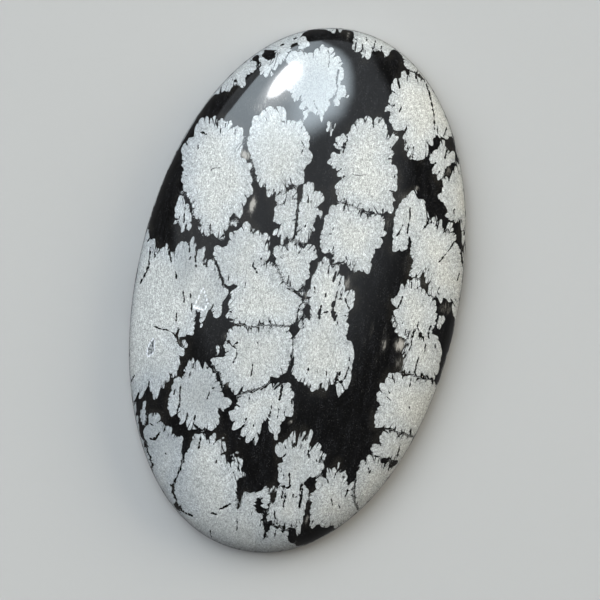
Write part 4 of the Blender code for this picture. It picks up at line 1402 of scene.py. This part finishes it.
def obsidian():
    """Black glass with pale flakes: all of its colour follows the growth, seam and depth of each point."""
    material = bpy.data.materials.new("obsidian")
    nodes = Nodes(material)
    place = flow_place(nodes)
    growth = nodes.attribute("growth")
    spoke = nodes.attribute("spoke", "Vector")
    fine = nodes.noise(place, *FINE_NOISE)
    crumbs = nodes.noise(place, *CRUMB_NOISE)
    cloud = nodes.noise(place, *CLOUD_NOISE)

    gap = nodes.math("DIVIDE", nodes.cells(spoke, LOBES, LOBES, "DISTANCE_TO_EDGE"), LOBES)
    lobed = lobed_edge(nodes, place, growth, spoke)
    edge = nodes.math("MINIMUM", lobed, slit_edge(nodes, place, growth, gap))
    edge = nodes.math("MINIMUM", edge, seam_edge(nodes, place))
    pale = nodes.ramp(edge, *FLAKE_EDGE)
    flake = flake_colour(nodes, place, growth, gap, fine, crumbs, cloud)
    colour = nodes.blend(pale, glass_colour(nodes, place, edge, fine, crumbs, cloud), flake)

    bruised = nodes.math("MULTIPLY", nodes.attribute("bruise"), nodes.ramp(fine, *BRUISE_GRAIN))
    broken = nodes.ramp(bruised, *BRUISE_EDGE)
    colour = nodes.blend(broken, colour, BRUISE)
    pitted = nodes.math("MULTIPLY", nodes.attribute("hollow"), nodes.ramp(fine, *PIT_GRAIN))
    nodes.put(nodes.shader.inputs["Base Color"], nodes.blend(pitted, colour, PIT_BLUE))
    rough = nodes.math("MULTIPLY_ADD", pale, FLAKE_ROUGHNESS, GLASS_ROUGHNESS)
    rough = nodes.math("MULTIPLY_ADD", broken, BRUISE_ROUGHNESS, rough)
    nodes.put(nodes.shader.inputs["Roughness"], rough)
    nodes.shader.inputs["IOR"].default_value = GLASS_IOR
    return material


def towards(azimuth, elevation, distance):
    """A point in a direction from the stone, in degrees clockwise from +Y and in degrees above its plane."""
    turn = math.radians(azimuth)
    lift = math.radians(elevation)
    flat = math.cos(lift) * distance
    return Vector((math.sin(turn) * flat, math.cos(turn) * flat, math.sin(lift) * distance))


# The studio's lights. Each outline point is an azimuth and an elevation in degrees, the share of the way to
# the middle over which the glow rises from none, and how strong it is there.
LAMP_OUTLINE = (
    (-49.5, 47, 0.14, 1.0), (-46.5, 42, 0.14, 1.0), (-42.3, 37.7, 0.10, 1.0), (-37.2, 33, 0.12, 1.0),
    (-33, 31, 0.12, 1.0), (-30, 35.5, 0.12, 1.0), (-28.8, 43, 0.2, 1.0), (-30.0, 49.5, 0.2, 1.0),
    (-34.5, 52.2, 0.2, 1.0), (-39.5, 53.2, 0.2, 1.0), (-44.5, 53, 0.15, 1.0), (-48.2, 50.2, 0.14, 1.0),
)
LAMP_DISTANCE = 1.5
LAMP_POWER = 22.0
LAMP_COLOUR = (1.0, 1.0, 1.0)
# A faint glow all round the lamp
GLOW_OUTLINE = (
    (-58, 50, 0.8, 1.0), (-55, 41, 0.8, 1.0), (-47, 33, 0.8, 1.0), (-36, 25, 0.8, 1.0), (-26, 27, 0.8, 1.0),
    (-22, 40, 0.8, 1.0), (-26, 54, 0.8, 1.0), (-36, 62, 0.8, 1.0), (-50, 60, 0.8, 1.0),
)
GLOW_DISTANCE = 1.7
GLOW_POWER = 7.5
SCREEN_OUTLINE = (
    (-66.8, 38, 0.04, 0.9), (-65.5, 28, 0.02, 0.9), (-63.5, 25, 0.02, 0.9), (-61, 26, 0.02, 0.9),
    (-58, 25.2, 0.02, 0.9), (-53.6, 23.2, 0.02, 0.95), (-49.7, 20.2, 0.02, 0.95), (-46.5, 17.8, 0.02, 0.9),
    (-42.7, 14.5, 0.03, 0.9), (-38, 6.5, 0.04, 0.9), (-31, 3, 0.05, 0.9), (-24, 2, 0.08, 0.8),
    (-16, 4, 0.15, 0.8), (-11, 14, 0.2, 0.8), (-3, 25, 0.26, 0.9), (3, 37, 0.26, 1.2),
    (8.5, 51, 0.25, 1.5), (13, 61.5, 0.25, 1.8), (12, 69, 0.25, 1.9), (5, 72.6, 0.2, 1.9),
    (-4, 75, 0.22, 2.0), (-17, 76, 0.22, 2.0), (-33, 76.5, 0.25, 1.6), (-47, 76, 0.35, 1.1),
    (-62, 71.5, 0.4, 0.9), (-68.5, 62.6, 0.3, 0.9), (-67.7, 52, 0.12, 0.9),
)
SCREEN_DISTANCE = 2.4
SCREEN_POWER = 5.2
SCREEN_COLOUR = (0.86, 1.0, 1.10)
# A broad dim panel behind them is mirrored and lights the flakes. The sky and the fill only light them
HAZE_OUTLINE = (
    (-105, 58, 0.3, 1.0), (-85, 20, 0.15, 1.0), (-62, 8, 0.15, 1.0), (-42, 2, 0.15, 1.0), (-20, 0, 0.15, 1.0),
    (0, 4, 0.2, 1.0), (13, 10, 0.35, 1.0), (21, 29, 0.45, 1.0), (32, 38, 0.5, 1.0), (46, 44, 0.5, 1.0),
    (62, 49, 0.5, 1.0), (85, 56, 0.6, 1.0), (110, 66, 0.6, 1.0), (140, 76, 0.45, 1.0), (180, 81, 0.45, 1.0),
    (-130, 74, 0.45, 1.0),
)
HAZE_DISTANCE = 3.0
HAZE_POWER = 0.70
HAZE_COLOUR = (0.93, 1.0, 1.08)
SKY_OUTLINE = (
    (-115, 22, 0.3, 1.55), (-85, 22, 0.3, 1.55), (-55, 32, 0.3, 1.1), (-25, 26, 0.3, 1.1), (0, 26, 0.3, 1.1),
    (0, 75, 0.3, 1.0), (-55, 75, 0.3, 1.0), (-115, 75, 0.3, 1.0),
)
SKY_DISTANCE = 2.2
SKY_POWER = 2.6
SKY_COLOUR = (0.94, 1.0, 1.065)
FILL_OUTLINE = (
    (20, 12, 0.3, 1.0), (45, 12, 0.3, 1.0), (70, 12, 0.3, 1.0), (90, 12, 0.3, 1.0), (90, 40, 0.3, 1.0),
    (55, 40, 0.3, 1.0), (20, 40, 0.3, 1.0),
)
FILL_DISTANCE = 2.0
FILL_POWER = 5.4
FILL_COLOUR = (1.08, 1.0, 0.845)
ROOM_COLOUR = (0.10, 0.10, 0.10)
TABLE_COLOUR = (0.42, 0.42, 0.41)
TABLE_SIZE = 1.2
TABLE_ROUGHNESS = 0.8
# How near and how far the camera sees, in metres
CLIP_DISTANCES = (0.01, 10.0)


def panel_mesh(name, outline, distance):
    """Faces within an outline, with how far the glow has risen and how strong it is at each point."""
    rim = [towards(azimuth, elevation, distance) for azimuth, elevation, _, _ in outline]
    centre = sum(rim, Vector()) / len(rim)
    inner = [point.lerp(centre, softness) for point, (_, _, softness, _) in zip(rim, outline)]
    strengths = [strength for _, _, _, strength in outline]
    count = len(rim)
    faces = []
    for step in range(count):
        after = (step + 1) % count
        faces.append((step, after, count + after, count + step))
        faces.append((count + step, count + after, 2 * count))
    mesh = bpy.data.meshes.new(name)
    mesh.from_pydata([*rim, *inner, centre], [], faces)
    rise = mesh.attributes.new("rise", "FLOAT", "POINT")
    rise.data.foreach_set("value", [0.0] * count + [1.0] * (count + 1))
    glow = mesh.attributes.new("glow", "FLOAT", "POINT")
    glow.data.foreach_set("value", [*strengths, *strengths, sum(strengths) / count])
    return mesh


def panel_glow(name, colour, power):
    """A clear material that glows by the panel's own rise and strength."""
    material = bpy.data.materials.new(name)
    nodes = Nodes(material)
    shown = nodes.math("MULTIPLY", nodes.ramp(nodes.attribute("rise"), 0.0, 1.0), nodes.attribute("glow"))
    strength = nodes.math("MULTIPLY", shown, power)
    emission = nodes.add("ShaderNodeEmission", None, Color=(*colour, 1.0), Strength=strength)
    clear = nodes.add("ShaderNodeBsdfTransparent")
    both = nodes.add("ShaderNodeAddShader")
    nodes.put(both.inputs[0], emission.outputs[0])
    nodes.put(both.inputs[1], clear.outputs[0])
    nodes.put(nodes.tree.nodes["Material Output"].inputs["Surface"], both.outputs[0])
    return material


def light_panel(name, outline, distance, colour, power):
    """A clear panel over the stone, cut to an outline, that glows and isn't seen by the camera."""
    mesh = panel_mesh(name, outline, distance)
    mesh.materials.append(panel_glow(name, colour, power))
    panel = bpy.data.objects.new(name, mesh)
    bpy.context.scene.collection.objects.link(panel)
    panel.visible_camera = False
    return panel


def make_table():
    """The pale table under the stone."""
    half = TABLE_SIZE / 2.0
    mesh = bpy.data.meshes.new("table")
    corners = [(-half, -half, 0.0), (half, -half, 0.0), (half, half, 0.0), (-half, half, 0.0)]
    mesh.from_pydata(corners, [], [(0, 1, 2, 3)])
    material = bpy.data.materials.new("table")
    nodes = Nodes(material)
    nodes.shader.inputs["Base Color"].default_value = (*TABLE_COLOUR, 1.0)
    nodes.shader.inputs["Roughness"].default_value = TABLE_ROUGHNESS
    mesh.materials.append(material)
    table = bpy.data.objects.new("table", mesh)
    bpy.context.scene.collection.objects.link(table)
    # It neither lights the stone nor is mirrored in it, so that the rim stays as dark as in the photo
    table.visible_glossy = False
    table.visible_diffuse = False
    return table


def light_room():
    """The room's own dim light and the studio's panels round the stone."""
    world = bpy.data.worlds.new("room")
    world.use_nodes = True
    world.node_tree.nodes["Background"].inputs["Color"].default_value = (*ROOM_COLOUR, 1.0)
    bpy.context.scene.world = world
    lamp = light_panel("lamp", LAMP_OUTLINE, LAMP_DISTANCE, LAMP_COLOUR, LAMP_POWER)
    glow = light_panel("glow", GLOW_OUTLINE, GLOW_DISTANCE, LAMP_COLOUR, GLOW_POWER)
    screen = light_panel("screen", SCREEN_OUTLINE, SCREEN_DISTANCE, SCREEN_COLOUR, SCREEN_POWER)
    haze = light_panel("haze", HAZE_OUTLINE, HAZE_DISTANCE, HAZE_COLOUR, HAZE_POWER)
    sky = light_panel("sky", SKY_OUTLINE, SKY_DISTANCE, SKY_COLOUR, SKY_POWER)
    fill = light_panel("fill", FILL_OUTLINE, FILL_DISTANCE, FILL_COLOUR, FILL_POWER)
    for mirrored in (lamp, glow, screen):
        mirrored.visible_diffuse = False
    for unseen in (sky, fill):
        unseen.visible_glossy = False
    return lamp, glow, screen, haze, sky, fill


def look_down():
    """The camera over the stone, turned so that the stone leans to the right as it does in the photo."""
    lens = bpy.data.cameras.new("camera")
    lens.lens = lens.sensor_width * VIEW_HEIGHT / FRAME_WIDTH
    lens.clip_start, lens.clip_end = CLIP_DISTANCES
    camera = bpy.data.objects.new("camera", lens)
    camera.location = Vector((*VIEW_CENTRE, VIEW_HEIGHT)) * MM
    camera.rotation_euler = (0.0, 0.0, STONE_LEAN)
    bpy.context.scene.collection.objects.link(camera)
    bpy.context.scene.camera = camera


def main():
    stone = make_stone()
    stone.data.materials.append(obsidian())
    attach(stone, "root")
    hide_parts("cabochon")
    make_table()
    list(light_room())
    look_down()
    bpy.context.scene.view_settings.view_transform = "Standard"


main()
